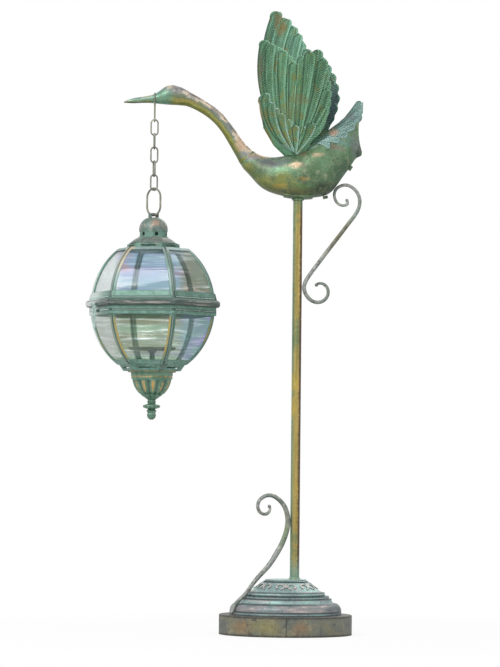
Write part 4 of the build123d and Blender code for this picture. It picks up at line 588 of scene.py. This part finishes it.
def bowl_material():
    """Gadrooned bowl: gold on the crests and the cup's edges, dark in the grooves, teal elsewhere."""
    s = Shader("patina_bowl")
    middle = s.mottle(90.0)
    fine = s.grain()
    colour = s.mix(s.step(middle, 0.40, 0.62), srgb(92, 130, 108), srgb(120, 154, 134))
    height = s.axis(2)
    east = s.minus(s.axis(0), LANTERN.x)
    angle = s.minus(s.math("ARCTAN2", s.axis(1), east), CORNER_ANGLE)
    wave = s.math("COSINE", s.times(angle, BOWL_FLUTE_COUNT))
    groove = s.times(s.step(wave, 0.2, 0.95), s.step(height, *BOWL_FLUTES))
    colour = s.mix(s.times(groove, 0.6), colour, srgb(52, 70, 58))
    belt = s.between(height, *BOWL_BELT)
    crest = s.times(belt, s.step(wave, -0.40, -0.85))
    beads = s.between(height, *BOWL_BEADS)
    rim = s.between(height, *BOWL_RIM)
    gold = s.math("MAXIMUM", crest, s.times(s.math("MAXIMUM", beads, rim), 0.8))
    gold = s.times(gold, s.step(middle, 0.38, 0.54), s.step(fine, 0.36, 0.50, 0.5, 0.95))
    colour = s.mix(gold, colour, srgb(200, 158, 88))
    colour = s.mix(s.step(fine, 0.42, 0.30, 0.0, 0.5), colour, srgb(58, 62, 48))
    normal = s.cast(middle, 0.4, 0.0014)
    return s.finish(colour, s.step(middle, 0.3, 0.7, 0.40, 0.55), 0.35, normal)


def base_material():
    """Stepped dome and collar: dusty teal, dark joints, pink and violet wear on the lower ring, and
    painted shade on the +x side.
    """
    s = Shader("patina_base")
    broad = s.noise(18.0, 5.0, 0.6)
    middle = s.mottle(75.0)
    fine = s.grain()
    drawn = s.stretched((16.0, 16.0, 120.0), 5.0, 0.65)
    height = s.axis(2)
    wavy = s.plus(height, s.swing(middle, 0.008))
    colour = s.mix(s.step(broad, 0.38, 0.62), srgb(164, 198, 190), srgb(144, 168, 168))
    colour = s.mix(s.step(drawn, 0.50, 0.66, 0.0, 0.75), colour, srgb(184, 176, 174))
    colour = s.mix(s.step(middle, 0.54, 0.74, 0.0, 0.6), colour, srgb(176, 198, 192))
    ring = s.between(wavy, *BASE_RING)
    wear = s.mix(s.step(drawn, 0.40, 0.54), srgb(92, 104, 108), srgb(146, 136, 138))
    wear = s.mix(s.step(drawn, 0.56, 0.66), wear, srgb(204, 188, 182))
    colour = s.mix(s.times(ring, 0.8), colour, wear)
    east = s.axis(0)
    radius = s.length(east, s.axis(1))
    lift = s.times(s.minus(height, COLLAR_FOOT), COLLAR_SLOPE)
    rise = s.minus(radius, s.minus(COLLAR_FOOT_RADIUS, lift))
    frieze = s.between(height, *BASE_FRIEZE)
    wall = s.between(rise, (0.0003, 0.0008), (0.0030, 0.0026))
    colour = s.mix(s.times(frieze, wall, 0.8), colour, srgb(50, 68, 68))
    carved = s.times(frieze, s.step(rise, 0.0024, 0.0030))
    colour = s.mix(s.times(carved, s.step(middle, 0.36, 0.56, 0.4, 0.85)), colour, srgb(208, 196, 190))
    for level in BASE_STEPS:
        near = s.apart(height, level)
        colour = s.mix(s.step(near, 0.0026, 0.0008, 0.0, 0.8), colour, srgb(40, 50, 54))
    # Painted shade: darker grey-blue on the +x side.
    side = s.plus(east, s.swing(middle, 0.04))
    colour = s.mix(s.step(side, 0.085, 0.125, 0.0, 0.7), colour, srgb(58, 66, 72))
    pits = s.step(s.plus(fine, s.times(middle, 0.3)), 0.48, 0.58, 1.0, 0.0)
    colour = s.mix(s.times(pits, 0.8), colour, srgb(54, 60, 62))
    colour = s.mix(s.step(fine, 0.60, 0.76, 0.0, 0.5), colour, srgb(200, 212, 206))
    normal = s.bump(s.noise(900.0), 0.35, 0.0006)
    normal = s.bump(middle, 0.6, 0.0020, normal)
    return s.finish(colour, s.step(middle, 0.3, 0.7, 0.38, 0.54), 0.25, normal)


def stain(red, green, blue):
    """Tint of one glass face, partly a painted reflection: light through the four faces of two panes
    comes out in this colour.
    """
    return (*[value ** 0.25 for value in srgb(red, green, blue)[:3]], 1.0)


def glass_material():
    """Clear old panes, stained in level with rippled bands of many tints that partly stand in as painted
    reflections, a near-white painted reflection on the left panes, painted shade on the right panes, and
    white painted reflection streaks, under a trace of dust.
    """
    s = Shader("pane_glass")
    s.tree.links.clear()
    bands = s.stretched((3.0, 3.0, 46.0), 3.0, 0.6)
    second = s.stretched((5.0, 5.0, 70.0), 2.0, 0.6)
    ripple = s.stretched((10.0, 10.0, 190.0), 2.0, 0.5)
    drift = s.stretched((12.0, 12.0, 20.0), 2.0, 0.5)
    # Painted light by side: painted shade on the right panes, a near-white painted reflection on the
    # left panes.
    side = s.plus(s.minus(s.axis(0), LANTERN.x), s.times(drift, 0.02))
    right_shade = s.step(side, 0.060, 0.090)
    left_glare = s.step(side, -0.055, -0.080)
    upper = s.mix(s.step(bands, 0.42, 0.56), stain(150, 156, 200), stain(136, 176, 196))
    upper = s.mix(s.step(drift, 0.56, 0.66, 0.0, 0.8), upper, stain(184, 158, 168))
    shaded = s.mix(s.step(drift, 0.45, 0.60), stain(124, 136, 116), stain(158, 138, 122))
    upper = s.mix(right_shade, upper, shaded)
    upper = s.mix(left_glare, upper, stain(228, 236, 234))
    lower = s.mix(s.step(bands, 0.40, 0.56), stain(136, 144, 116), stain(148, 178, 150))
    lower = s.mix(s.step(second, 0.58, 0.68, 0.0, 0.8), lower, stain(158, 158, 190))
    shaded = s.mix(s.step(drift, 0.46, 0.60), stain(128, 166, 166), stain(152, 152, 194))
    lower = s.mix(right_shade, lower, shaded)
    lower = s.mix(left_glare, lower, stain(190, 198, 188))
    tint = s.mix(s.step(s.axis(2), *PANE_PARTING), lower, upper)
    # Painted reflection: white streaks along the ripples.
    tint = s.mix(s.step(ripple, 0.52, 0.66, 0.0, 0.85), tint, stain(244, 250, 252))
    dust = s.mix(s.step(ripple, 0.40, 0.60), tint, srgb(232, 240, 242))
    share = s.step(drift, 0.35, 0.65, 0.16, 0.06)
    film = s.node("ShaderNodeBsdfTranslucent", {"Color": dust}).outputs[0]
    plain = s.node("ShaderNodeBsdfDiffuse", {"Color": dust}).outputs[0]
    both = s.node("ShaderNodeMixShader", {0: 0.5, 1: film, 2: plain}).outputs[0]
    clear = s.node("ShaderNodeBsdfTransparent", {"Color": tint}).outputs[0]
    pane = s.node("ShaderNodeMixShader", {0: share, 1: clear, 2: both}).outputs[0]
    normal = s.bump(s.stretched((20.0, 20.0, 60.0)), 0.15, 0.002)
    shine = s.node("ShaderNodeBsdfGlossy", {"Roughness": 0.03, "Normal": normal}).outputs[0]
    facing = s.node("ShaderNodeLayerWeight", {"Blend": 0.5}).outputs["Facing"]
    edge = s.math("MULTIPLY_ADD", s.math("POWER", facing, 4.0), 0.35, 0.02)
    result = s.node("ShaderNodeMixShader", {0: edge, 1: pane, 2: shine}).outputs[0]
    output = s.tree.nodes["Material Output"]
    s.tree.links.new(result, output.inputs[0])
    return s.material


def plain_metal(name, colour, dark, rough=0.4, metallic=0.85):
    s = Shader(name)
    spots = s.noise(220.0, 4.0)
    tint = s.mix(s.step(spots, 0.42, 0.62), colour, dark)
    normal = s.bump(s.noise(1200.0), 0.3, 0.0004)
    return s.finish(tint, s.step(spots, 0.3, 0.7, rough, rough + 0.15), metallic, normal)


# Materials by node


def dress(names, material):
    for name in names:
        mesh = NODES[name].data
        mesh.materials.clear()
        mesh.materials.append(material)


body_skin = patina(
    "patina_body", srgb(106, 142, 108), srgb(90, 118, 84), GREEN_DARK, srgb(156, 172, 148),
    body_zones(), rub=srgb(184, 156, 84), rub_share=0.3, metallic=0.35, rough=(0.34, 0.48),
)
wing_skin = patina(
    "patina_wing", srgb(100, 152, 116), srgb(92, 136, 102), srgb(44, 62, 52), srgb(132, 166, 146),
    LEADING_EDGE_GOLD,
)
tail_bed_skin = patina(
    "patina_tail", srgb(132, 168, 158), srgb(116, 150, 140), srgb(70, 92, 88), srgb(168, 196, 188),
)
scroll_skin = patina(
    "patina_scrolls", srgb(158, 160, 156), srgb(116, 128, 120), srgb(50, 46, 42), srgb(216, 214, 208),
    [
        (srgb(96, 158, 138), (-0.085, 0, 0.304), (0.016, 0.05, 0.018), 0.9),
        (srgb(132, 160, 146), (0.120, 0, 0.952), (0.040, 0.03, 0.030), 0.7),
        (srgb(104, 94, 62), (0.128, 0, 0.880), (0.060, 0.05, 0.080), 0.75),
        (srgb(122, 142, 110), (0.000, 0, 0.215), (0.026, 0.05, 0.060), 0.7),
        (OLIVE, (-0.020, 0, 0.260), (0.030, 0.05, 0.050), 0.5),
    ],
    rub=srgb(176, 160, 120), rub_share=0.5, metallic=0.35,
)
base_skin = base_material()
plinth_skin = patina(
    "patina_plinth", srgb(128, 124, 98), srgb(108, 114, 106), srgb(50, 50, 48), srgb(156, 156, 136),
    [
        (RUST, (-0.096, -0.110, 0.022), (0.040, 0.06, 0.024), 0.55),
        (RUST, (0.034, -0.148, 0.020), (0.036, 0.06, 0.022), 0.45),
        (OLIVE, (-0.045, -0.140, 0.024), (0.050, 0.06, 0.022), 0.55),
        (RUST, (0.060, 0.135, 0.022), (0.044, 0.06, 0.022), 0.45),
        (OLIVE, (-0.110, 0.090, 0.024), (0.050, 0.06, 0.022), 0.5),
        # Painted shade at the plinth's left and right ends.
        (srgb(66, 70, 74), (0.150, -0.02, 0.024), (0.034, 0.11, 0.034), 0.9),
        (srgb(60, 62, 62), (-0.152, -0.02, 0.024), (0.040, 0.13, 0.034), 0.9),
    ],
    rub=srgb(148, 128, 96), rub_share=0.5, metallic=0.15, soft=0.1,
    lines=[(0.0435, 0.0050, 0.8), (0.0, 0.0070, 0.8)], seams=[(0.001, 0.0014, 0.6)],
)
lantern_skin = patina(
    "patina_lantern", srgb(94, 134, 118), srgb(108, 148, 134), srgb(56, 66, 58), srgb(160, 190, 184),
    [(GREY, (-0.307, 0, 0.742), (0.30, 0.30, 0.006), 0.7)],
    rub=srgb(150, 128, 104), rub_share=0.55,
)
rib_skin = rib_material()
band_skin = band_material()
bead_skin = patina(
    "patina_beads", srgb(176, 208, 198), srgb(188, 212, 204), srgb(104, 118, 110), srgb(222, 232, 226),
    rub=srgb(180, 166, 148), rub_share=0.5,
)
cap_skin = patina(
    "patina_cap", srgb(122, 128, 124), srgb(104, 126, 118), srgb(62, 64, 62), srgb(176, 174, 168),
    # Painted highlight: pinkish patch on the front of the cap.
    [(srgb(184, 150, 132), (-0.300, -0.03, 0.926), (0.016, 0.03, 0.008), 0.7)],
    rub=srgb(190, 160, 140), rub_share=0.7, metallic=0.4,
)
candle_skin = patina(
    "patina_dish", srgb(140, 190, 168), srgb(124, 174, 154), srgb(78, 104, 94), srgb(186, 216, 204),
)
vent_skin = patina(
    "patina_vent", srgb(96, 136, 120), srgb(112, 146, 132), srgb(50, 60, 54), srgb(150, 176, 166),
)
bowl_skin = bowl_material()
chain_skin = patina(
    "patina_chain", srgb(140, 140, 126), srgb(122, 128, 116), srgb(70, 66, 56), srgb(196, 196, 184),
    rub=srgb(190, 176, 146), rub_share=0.6, metallic=0.4,
)
steel = plain_metal("zinc_steel", srgb(150, 152, 150), srgb(96, 98, 96))
iron = plain_metal("cast_iron", srgb(58, 56, 54), srgb(36, 34, 32), 0.6, 0.5)
glass = glass_material()

dress(["bird_body_near", "bird_body_far", "bird_saddle", "bird_seam_tabs"], body_skin)
dress(["bird_neck", "bird_head"], neck_material())
dress(["wing_near", "wing_far"], wing_skin)
dress(["tail_near", "tail_far"], tail_bed_skin)
dress(["lower_scroll", "upper_scroll"], scroll_skin)
dress(["base_dome", "base_collar"], base_skin)
dress(["base_plinth"], plinth_skin)
dress(["base_ballast"], iron)
dress(["pole"], pole_material())
dress(["pole_plug", "tie_bolt", "centre_rod"], steel)
dress(["flange"], band_skin)
dress(["top_ring", "foot_ring", "foot_plate"], lantern_skin)
dress(["candle_stem", "candle_dish"], candle_skin)
dress(["hinge_leaf_upper", "hinge_leaf_lower", "latch_bracket", "latch_stud"], lantern_skin)
dress(["latch_hasp"], bead_skin)
dress(["upper_frame", "lower_frame"], rib_skin)
dress(["cap_strap", "lantern_cap", "cap_skirt"], cap_skin)
dress(["vent_collar"], vent_skin)
dress(["foot_cup", "fluted_bowl", "finial"], bowl_skin)
dress(["beak_loop", "hanging_ring"] + [f"chain_link_{i}" for i in range(1, 6)], chain_skin)
dress([f"{half}_pane_{i}" for half in ("upper", "lower") for i in range(1, SIDES + 1)], glass)


# Pieces made here


def add_piece(name, bm, material, body):
    """Smooth piece from a bmesh, riding on a body."""
    for face in bm.faces:
        face.smooth = True
    mesh = bpy.data.meshes.new(name)
    bm.to_mesh(mesh)
    bm.free()
    piece = bpy.data.objects.new(name, mesh)
    bpy.context.scene.collection.objects.link(piece)
    mesh.materials.append(material)
    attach(piece, body)


def bead_points_on_ribs(low, high):
    """Points along the six corners of the globe between two heights above the parting plane."""
    points = []
    height = low
    while height <= high:
        share = (height - GLOBE_CENTRE) / GLOBE_HALF_HEIGHT
        radius = (GLOBE_RADIUS + SKIN) * math.sqrt(1 - share * share)
        for index in range(SIDES):
            angle = CORNER_ANGLE + index * SIDE_ANGLE
            across = Vector((math.cos(angle), math.sin(angle), 0)) * radius
            points.append(LANTERN + across + Vector((0, 0, height)))
        slope = radius / (GLOBE_RADIUS + SKIN)
        height += BEAD_PITCH * max(slope, LEAST_SLOPE)
    return points


def bead_points_on_band(height, corner_radius):
    """Points along the six faces of a hexagonal band at one height."""
    points = []
    count = int((corner_radius - BAND_CORNER_GAP) / BEAD_PITCH)
    for index in range(SIDES):
        start = CORNER_ANGLE + index * SIDE_ANGLE
        end = start + SIDE_ANGLE
        first = Vector((math.cos(start), math.sin(start), 0)) * corner_radius
        last = Vector((math.cos(end), math.sin(end), 0)) * corner_radius
        for step in range(count + 1):
            share = 0.5 + (step - count / 2) * BEAD_PITCH / corner_radius
            points.append(LANTERN + first.lerp(last, share) + Vector((0, 0, height)))
    return points


def beads(name, points, body):
    """Many small stamped studs as one mesh."""
    bm = bmesh.new()
    for point in points:
        place = Matrix.Translation(point)
        bmesh.ops.create_icosphere(bm, subdivisions=1, radius=BEAD_RADIUS, matrix=place)
    add_piece(name, bm, bead_skin, body)


beads("rib_beads_upper", bead_points_on_ribs(*RIB_BEADS_UPPER), "lantern_upper")
beads("rib_beads_lower", bead_points_on_ribs(*RIB_BEADS_LOWER), "lantern_lower")
beads("band_beads_upper", bead_points_on_band(BAND_BEADS_UPPER, BAND_RADIUS_UPPER), "lantern_upper")
beads("band_beads_lower", bead_points_on_band(BAND_BEADS_LOWER, BAND_RADIUS_LOWER), "lantern_lower")


# Feathers: tip across and up from the wing's root, width, and sideways bow, in millimetres

NEAR_FEATHERS = {
    "primaries": [
        (-77, 266, 25, -31), (-63, 259, 24, -24), (-50, 253, 24, -17),
        (-37, 246, 23, -11), (-25, 234, 23, -6), (-13, 219, 23, -2),
    ],
    "secondaries": [
        (6, 233, 25, -2), (23, 243, 26, 2), (40, 246, 26, 6), (52, 224, 26, 8), (56, 199, 24, 8),
    ],
    "tertials": [
        (60, 174, 28, 8), (63, 152, 26, 8), (63, 131, 26, 8),
        (60, 110, 25, 7), (55, 88, 24, 6), (47, 66, 22, 4),
    ],
    "coverts": [
        (-75, 143, 24, -22), (-64, 123, 22, -16), (-53, 110, 20, -11), (-40, 98, 19, -7),
        (-25, 84, 20, -3), (-8, 71, 19, 0), (11, 68, 19, 2), (31, 76, 22, 4),
    ],
}
FAR_FEATHERS = {
    "primaries": [
        (-48, 337, 28, -42), (-26, 320, 26, -30), (-11, 302, 24, -20),
        (0, 285, 22, -12), (8, 265, 22, -6),
    ],
    "secondaries": [(20, 250, 24, 0), (36, 240, 26, 4), (52, 230, 26, 8), (64, 212, 26, 10)],
    "tertials": [
        (74, 192, 28, 12), (81, 168, 28, 12), (84, 144, 28, 12),
        (81, 121, 27, 11), (75, 99, 26, 9), (65, 76, 25, 6),
    ],
    "coverts": [
        (-78, 140, 26, -24), (-66, 128, 24, -17), (-53, 116, 22, -11), (-39, 104, 21, -7),
        (-23, 92, 21, -3), (-6, 84, 21, 0), (12, 82, 21, 2), (33, 86, 24, 5),
    ],
}
NEAR_LEAN = 25.0
NEAR_ROOT = 29.0
FAR_LEAN = 6.0
FAR_ROOT = 27.0
WING_ROOT_HEIGHT = 97.0
WING_CURVE = 260.0
WING_MIDDLE = -15.0
WING_SHEET = 1.8
WING_TIER = 0.9
FAN_BASES = {"primaries": (-18, 12), "secondaries": (-4, 16), "tertials": (0, 22), "coverts": (-6, 2)}
FAN_TIERS = {"primaries": 0, "secondaries": 1, "tertials": 0, "coverts": 2}
UNDER_DROP = 0.3
UNDER_REACH = 0.985
UNDER_TONE = 0.5
TAIL_BASE = (42, 124)
TAIL_FEATHERS = [
    (142, 220, 20, 7), (138, 196, 22, 4), (127, 170, 22, 1),
    (111, 147, 20, -2), (93, 129, 18, -4), (71, 114, 16, -3),
]
RAY_START = 300
TAIL_LIFT = 0.6
TAIL_TIER = 0.25
SKIRT_DEPTH = 1.3
# Edge mark of the skirt vertices, which the feather shader paints as shade.
SKIRT_SHADE_MARK = -0.003
BASE_SHARE = 0.3
SHOULDER = 0.86
TIP_HALF_WIDTH = 0.25
HALF_ACROSS = [0.07, 0.22, 0.44, 0.66, 0.80, 0.88, 0.95, 1.0]
ACROSS = [-share for share in reversed(HALF_ACROSS)] + [0.0] + HALF_ACROSS
ALONG_STEPS = 46
EVEN_STEPS = 0.8
RIDGE_HEIGHT = 0.80
RIDGE_INSET = 1.4
RIDGE_WIDTH = 1.1
SHAFT_HEIGHT = 0.25
SHAFT_WIDTH = 0.9
VANE_HEIGHT = 0.12


def feather_rows(base, tip_across, tip_up, width, bow):
    """Grid over a feather: across, up, distance along, signed distance aside, distance to the rim."""
    ahead = Vector((tip_across - base[0], tip_up - base[1]))
    length = ahead.length
    ahead.normalize()
    aside = Vector((ahead.y, -ahead.x))
    shoulder = max(SHOULDER, 1 - width * 0.5 / length)
    rows = []
    for step in range(ALONG_STEPS + 1):
        share = step / ALONG_STEPS
        if share < EVEN_STEPS:
            share = share * shoulder / EVEN_STEPS
        else:
            turn = (share - EVEN_STEPS) * math.pi / (2 - 2 * EVEN_STEPS)
            share = shoulder + (1 - shoulder) * math.sin(turn)
        if share <= shoulder:
            half = width / 2 * (BASE_SHARE + (1 - BASE_SHARE) * share / shoulder)
        else:
            half = width / 2 * math.sqrt(max(0.0, 1 - ((share - shoulder) / (1 - shoulder)) ** 2))
        half = max(half, TIP_HALF_WIDTH)
        row = []
        for part in ACROSS:
            offset = part * half + 4 * bow * share * (1 - share)
            place = Vector(base) + ahead * length * share + aside * offset
            rim = min(half * (1 - abs(part)), (1 - share) * length)
            row.append((place.x, place.y, length * share, part * half, rim))
        rows.append(row)
    return rows


def feather_relief(along, across, rim, length):
    """Height of the cast feather over its bed, in millimetres: a soft ridge round a hollow vane."""
    ridge = RIDGE_HEIGHT * math.exp(-((rim - RIDGE_INSET) / RIDGE_WIDTH) ** 2)
    shaft = SHAFT_HEIGHT * math.exp(-((across / SHAFT_WIDTH) ** 2)) * min(1.0, rim / 2)
    fade = min(1.0, along / (0.25 * length))
    return VANE_HEIGHT + (ridge + shaft) * fade


def add_feather(bm, layers, feather, base, lift, skirt_height, place_at, tone):
    """Adds one feather's upper side and the skirt down into its bed."""
    rows = feather_rows(base, *feather)
    length = rows[-1][0][2]
    grid = []
    for row in rows:
        line = []
        for across, up, along, aside, rim in row:
            height = lift + feather_relief(along, aside, rim, length)
            vertex = bm.verts.new(place_at(across, up, height))
            vertex[layers["along"]] = along / 1000
            vertex[layers["across"]] = aside / 1000
            vertex[layers["edge"]] = rim / 1000
            vertex[layers["tone"]] = tone
            line.append(vertex)
        grid.append(line)
    ring = [line[0] for line in grid] + grid[-1][1:-1] + [line[-1] for line in reversed(grid)]
    border = [row[0] for row in rows] + rows[-1][1:-1] + [row[-1] for row in reversed(rows)]
    skirt = []
    for across, up, along, aside, rim in border:
        vertex = bm.verts.new(place_at(across, up, skirt_height))
        vertex[layers["tone"]] = tone
        vertex[layers["edge"]] = SKIRT_SHADE_MARK
        skirt.append(vertex)
    for first, second in zip(grid, grid[1:]):
        for index in range(len(ACROSS) - 1):
            bm.faces.new((first[index], first[index + 1], second[index + 1], second[index]))
    for index in range(len(ring) - 1):
        bm.faces.new((ring[index], ring[index + 1], skirt[index + 1], skirt[index]))


def feathers_between(tips):
    """Under-feathers whose tips show in the notches between a fan's own."""
    middles = []
    for first, second in zip(tips, tips[1:]):
        across, up, width, bow = [(one + other) / 2 for one, other in zip(first, second)]
        middles.append((across * UNDER_REACH, up * UNDER_REACH, width, bow))
    return middles


def new_feather_bmesh():
    bm = bmesh.new()
    layers = {key: bm.verts.layers.float.new(key) for key in ("along", "across", "edge", "tone")}
    return bm, layers


def close_feathers(bm, name, material):
    bmesh.ops.recalc_face_normals(bm, faces=bm.faces)
    add_piece(name, bm, material, "stand")


def wing_feathers(name, outer, feathers, lean, root, side, material):
    """Feathers over one face of a wing, the outer or the inner. side is -1 for the near wing."""
    tilt = math.radians(lean)
    origin = Vector((0, -root, WING_ROOT_HEIGHT))
    up_line = Vector((0, -math.sin(tilt), math.cos(tilt)))
    out_line = Vector((0, -math.cos(tilt), -math.sin(tilt)))

    def place_at(across, up, height):
        level = height if outer else -height
        reach = math.sqrt((WING_CURVE + level) ** 2 - (across - WING_MIDDLE) ** 2) - WING_CURVE
        point = origin + Vector((across, 0, 0)) + up_line * up + out_line * reach
        if side > 0:
            point.y = -point.y
        return BIRD + point / 1000

    bm, layers = new_feather_bmesh()
    chance = random.Random(len(name) + 7)
    surface = WING_SHEET if outer else 0.0
    core = WING_SHEET / 2 if outer else -WING_SHEET / 2
    under = surface - UNDER_DROP
    for fan, tips in feathers.items():
        base = FAN_BASES[fan]
        for index, feather in enumerate(tips):
            tier = (FAN_TIERS[fan] + index % 2) * WING_TIER
            tone = chance.random() * 0.9 + (COVERT_TONE if fan == "coverts" else 0.0)
            add_feather(bm, layers, feather, base, surface + tier, core, place_at, tone)
        for feather in feathers_between(tips):
            add_feather(bm, layers, feather, base, under, core, place_at, UNDER_TONE)
    close_feathers(bm, name, material)


def tail_feathers(name, side, material):
    """Feathers laid over the tail fan on one side of the body."""
    faces, points = [], []
    half = "near" if side < 0 else "far"
    for node in (f"tail_{half}", f"bird_body_{half}"):
        mesh = NODES[node].data
        offset = len(points)
        points.extend(vertex.co.copy() for vertex in mesh.vertices)
        faces.extend([offset + index for index in polygon.vertices] for polygon in mesh.polygons)
    tree = BVHTree.FromPolygons(points, faces)

    def place_at(across, up, height):
        start = BIRD + Vector((across, side * RAY_START, up)) / 1000
        found = tree.ray_cast(start, Vector((0, -side, 0)))[0]
        surface = found.y if found is not None else side * 0.001
        return Vector((start.x, surface + side * (height - TAIL_LIFT) / 1000, start.z))

    bm, layers = new_feather_bmesh()
    for index, feather in enumerate(TAIL_FEATHERS):
        lift = TAIL_LIFT + TAIL_TIER * (index % 2)
        add_feather(bm, layers, feather, TAIL_BASE, lift, lift - SKIRT_DEPTH, place_at, 0.15 * index)
    close_feathers(bm, name, material)


near_feather_skin = feather_material(
    "feathers_near", srgb(138, 192, 156), srgb(88, 140, 96), srgb(128, 128, 62),
    [
        (srgb(104, 98, 84), (-0.068, -0.120, 1.255), (0.010, 0.06, 0.065), 0.6),
        (srgb(118, 132, 86), (-0.010, -0.090, 1.170), (0.040, 0.08, 0.030), 0.5),
        (srgb(122, 112, 62), (0.020, -0.10, 1.200), (0.030, 0.06, 0.016), 0.45),
        (srgb(134, 176, 160), (-0.020, -0.05, 1.092), (0.034, 0.06, 0.014), 0.6),
    ],
)
far_feather_skin = feather_material(
    "feathers_far", srgb(136, 190, 164), srgb(88, 138, 104), srgb(122, 118, 60),
    [
        (srgb(48, 70, 82), (0.098, 0.05, 1.195), (0.040, 0.09, 0.085), 0.85),
        (srgb(122, 108, 62), (-0.024, 0.07, 1.390), (0.020, 0.09, 0.040), 0.75),
    ] + LEADING_EDGE_GOLD,
)
tail_skin = feather_material(
    "feathers_tail", srgb(170, 204, 196), srgb(136, 174, 164), srgb(130, 146, 134),
    [
        (PINK, (0.098, 0, 1.135), (0.020, 0.08, 0.012), 0.8),
        (GREY_VIOLET, (0.136, 0, 1.172), (0.012, 0.08, 0.014), 0.5),
    ],
    dark=srgb(82, 108, 104),
)
near_wing = (NEAR_FEATHERS, NEAR_LEAN, NEAR_ROOT, -1, near_feather_skin)
far_wing = (FAR_FEATHERS, FAR_LEAN, FAR_ROOT, 1, far_feather_skin)
wing_feathers("near_wing_feathers_outer", True, *near_wing)
wing_feathers("near_wing_feathers_inner", False, *near_wing)
wing_feathers("far_wing_feathers_outer", True, *far_wing)
wing_feathers("far_wing_feathers_inner", False, *far_wing)
tail_feathers("near_tail_feathers", -1, tail_skin)
tail_feathers("far_tail_feathers", 1, tail_skin)


# Studio


FLOOR_RADIUS = 40.0
SHADOW_REACH = (0.35, 1.3)
SHADOW_FLOOR_GLOW = 0.88
WORLD_TINT = (0.97, 0.98, 1.0, 1)
WORLD_LIGHT = 0.44


def make_floor():
    mesh = bpy.data.meshes.new("floor")
    bm = bmesh.new()
    bmesh.ops.create_circle(bm, cap_ends=True, segments=128, radius=FLOOR_RADIUS)
    bm.to_mesh(mesh)
    bm.free()
    floor = bpy.data.objects.new("floor", mesh)
    bpy.context.scene.collection.objects.link(floor)
    s = Shader("floor_white")
    soft = s.noise(3.0)
    tone = s.mix(soft, (0.90, 0.90, 0.90, 1.0), (0.93, 0.93, 0.93, 1.0))
    s.put(s.bsdf.inputs["Base Color"], tone)
    s.put(s.bsdf.inputs["Roughness"], 0.9)
    path = s.node("ShaderNodeLightPath")
    glow = s.node("ShaderNodeEmission", {"Color": (1, 1, 1, 1), "Strength": 1.0}).outputs[0]
    away = s.length(s.axis(0), s.axis(1))
    white = s.step(away, *SHADOW_REACH, SHADOW_FLOOR_GLOW, 1.0)
    share = s.times(path.outputs["Is Camera Ray"], white)
    mixed = s.node("ShaderNodeMixShader", {0: share, 1: s.bsdf.outputs[0], 2: glow})
    s.tree.links.new(mixed.outputs[0], s.tree.nodes["Material Output"].inputs[0])
    mesh.materials.append(s.material)


def make_world():
    """White to the camera, in reflections and through glass, with a soft even light on the object."""
    world = bpy.data.worlds.new("studio")
    bpy.context.scene.world = world
    world.use_nodes = True
    tree = world.node_tree
    tree.nodes.clear()
    path = tree.nodes.new("ShaderNodeLightPath")
    seen = path.outputs["Is Camera Ray"]
    for ray in ("Is Glossy Ray", "Is Transmission Ray"):
        either = tree.nodes.new("ShaderNodeMath")
        either.operation = "MAXIMUM"
        tree.links.new(seen, either.inputs[0])
        tree.links.new(path.outputs[ray], either.inputs[1])
        seen = either.outputs[0]
    mixed = tree.nodes.new("ShaderNodeMixShader")
    tree.links.new(seen, mixed.inputs[0])
    for index, colour, strength in ((1, WORLD_TINT, WORLD_LIGHT), (2, (1, 1, 1, 1), 1.0)):
        background = tree.nodes.new("ShaderNodeBackground")
        background.inputs[0].default_value = colour
        background.inputs[1].default_value = strength
        tree.links.new(background.outputs[0], mixed.inputs[index])
    output = tree.nodes.new("ShaderNodeOutputWorld")
    tree.links.new(mixed.outputs[0], output.inputs[0])


def add_lamp(name, place, target, size, power):
    lamp = bpy.data.objects.new(name, bpy.data.lights.new(name, "AREA"))
    bpy.context.scene.collection.objects.link(lamp)
    lamp.data.shape = "SQUARE"
    lamp.data.size = size
    lamp.data.energy = power
    lamp.location = place
    lamp.rotation_euler = (Vector(target) - Vector(place)).to_track_quat("-Z", "Y").to_euler()


make_floor()
make_world()
add_lamp("key", (-2.0, -2.4, 3.0), (-0.1, 0, 0.8), 1.6, 88)
add_lamp("fill", (2.6, -2.0, 1.6), (0, 0, 0.7), 2.0, 18)
add_lamp("back", (0.8, 2.6, 2.6), (0, 0, 0.9), 1.8, 30)
bpy.context.scene.view_settings.view_transform = "Standard"
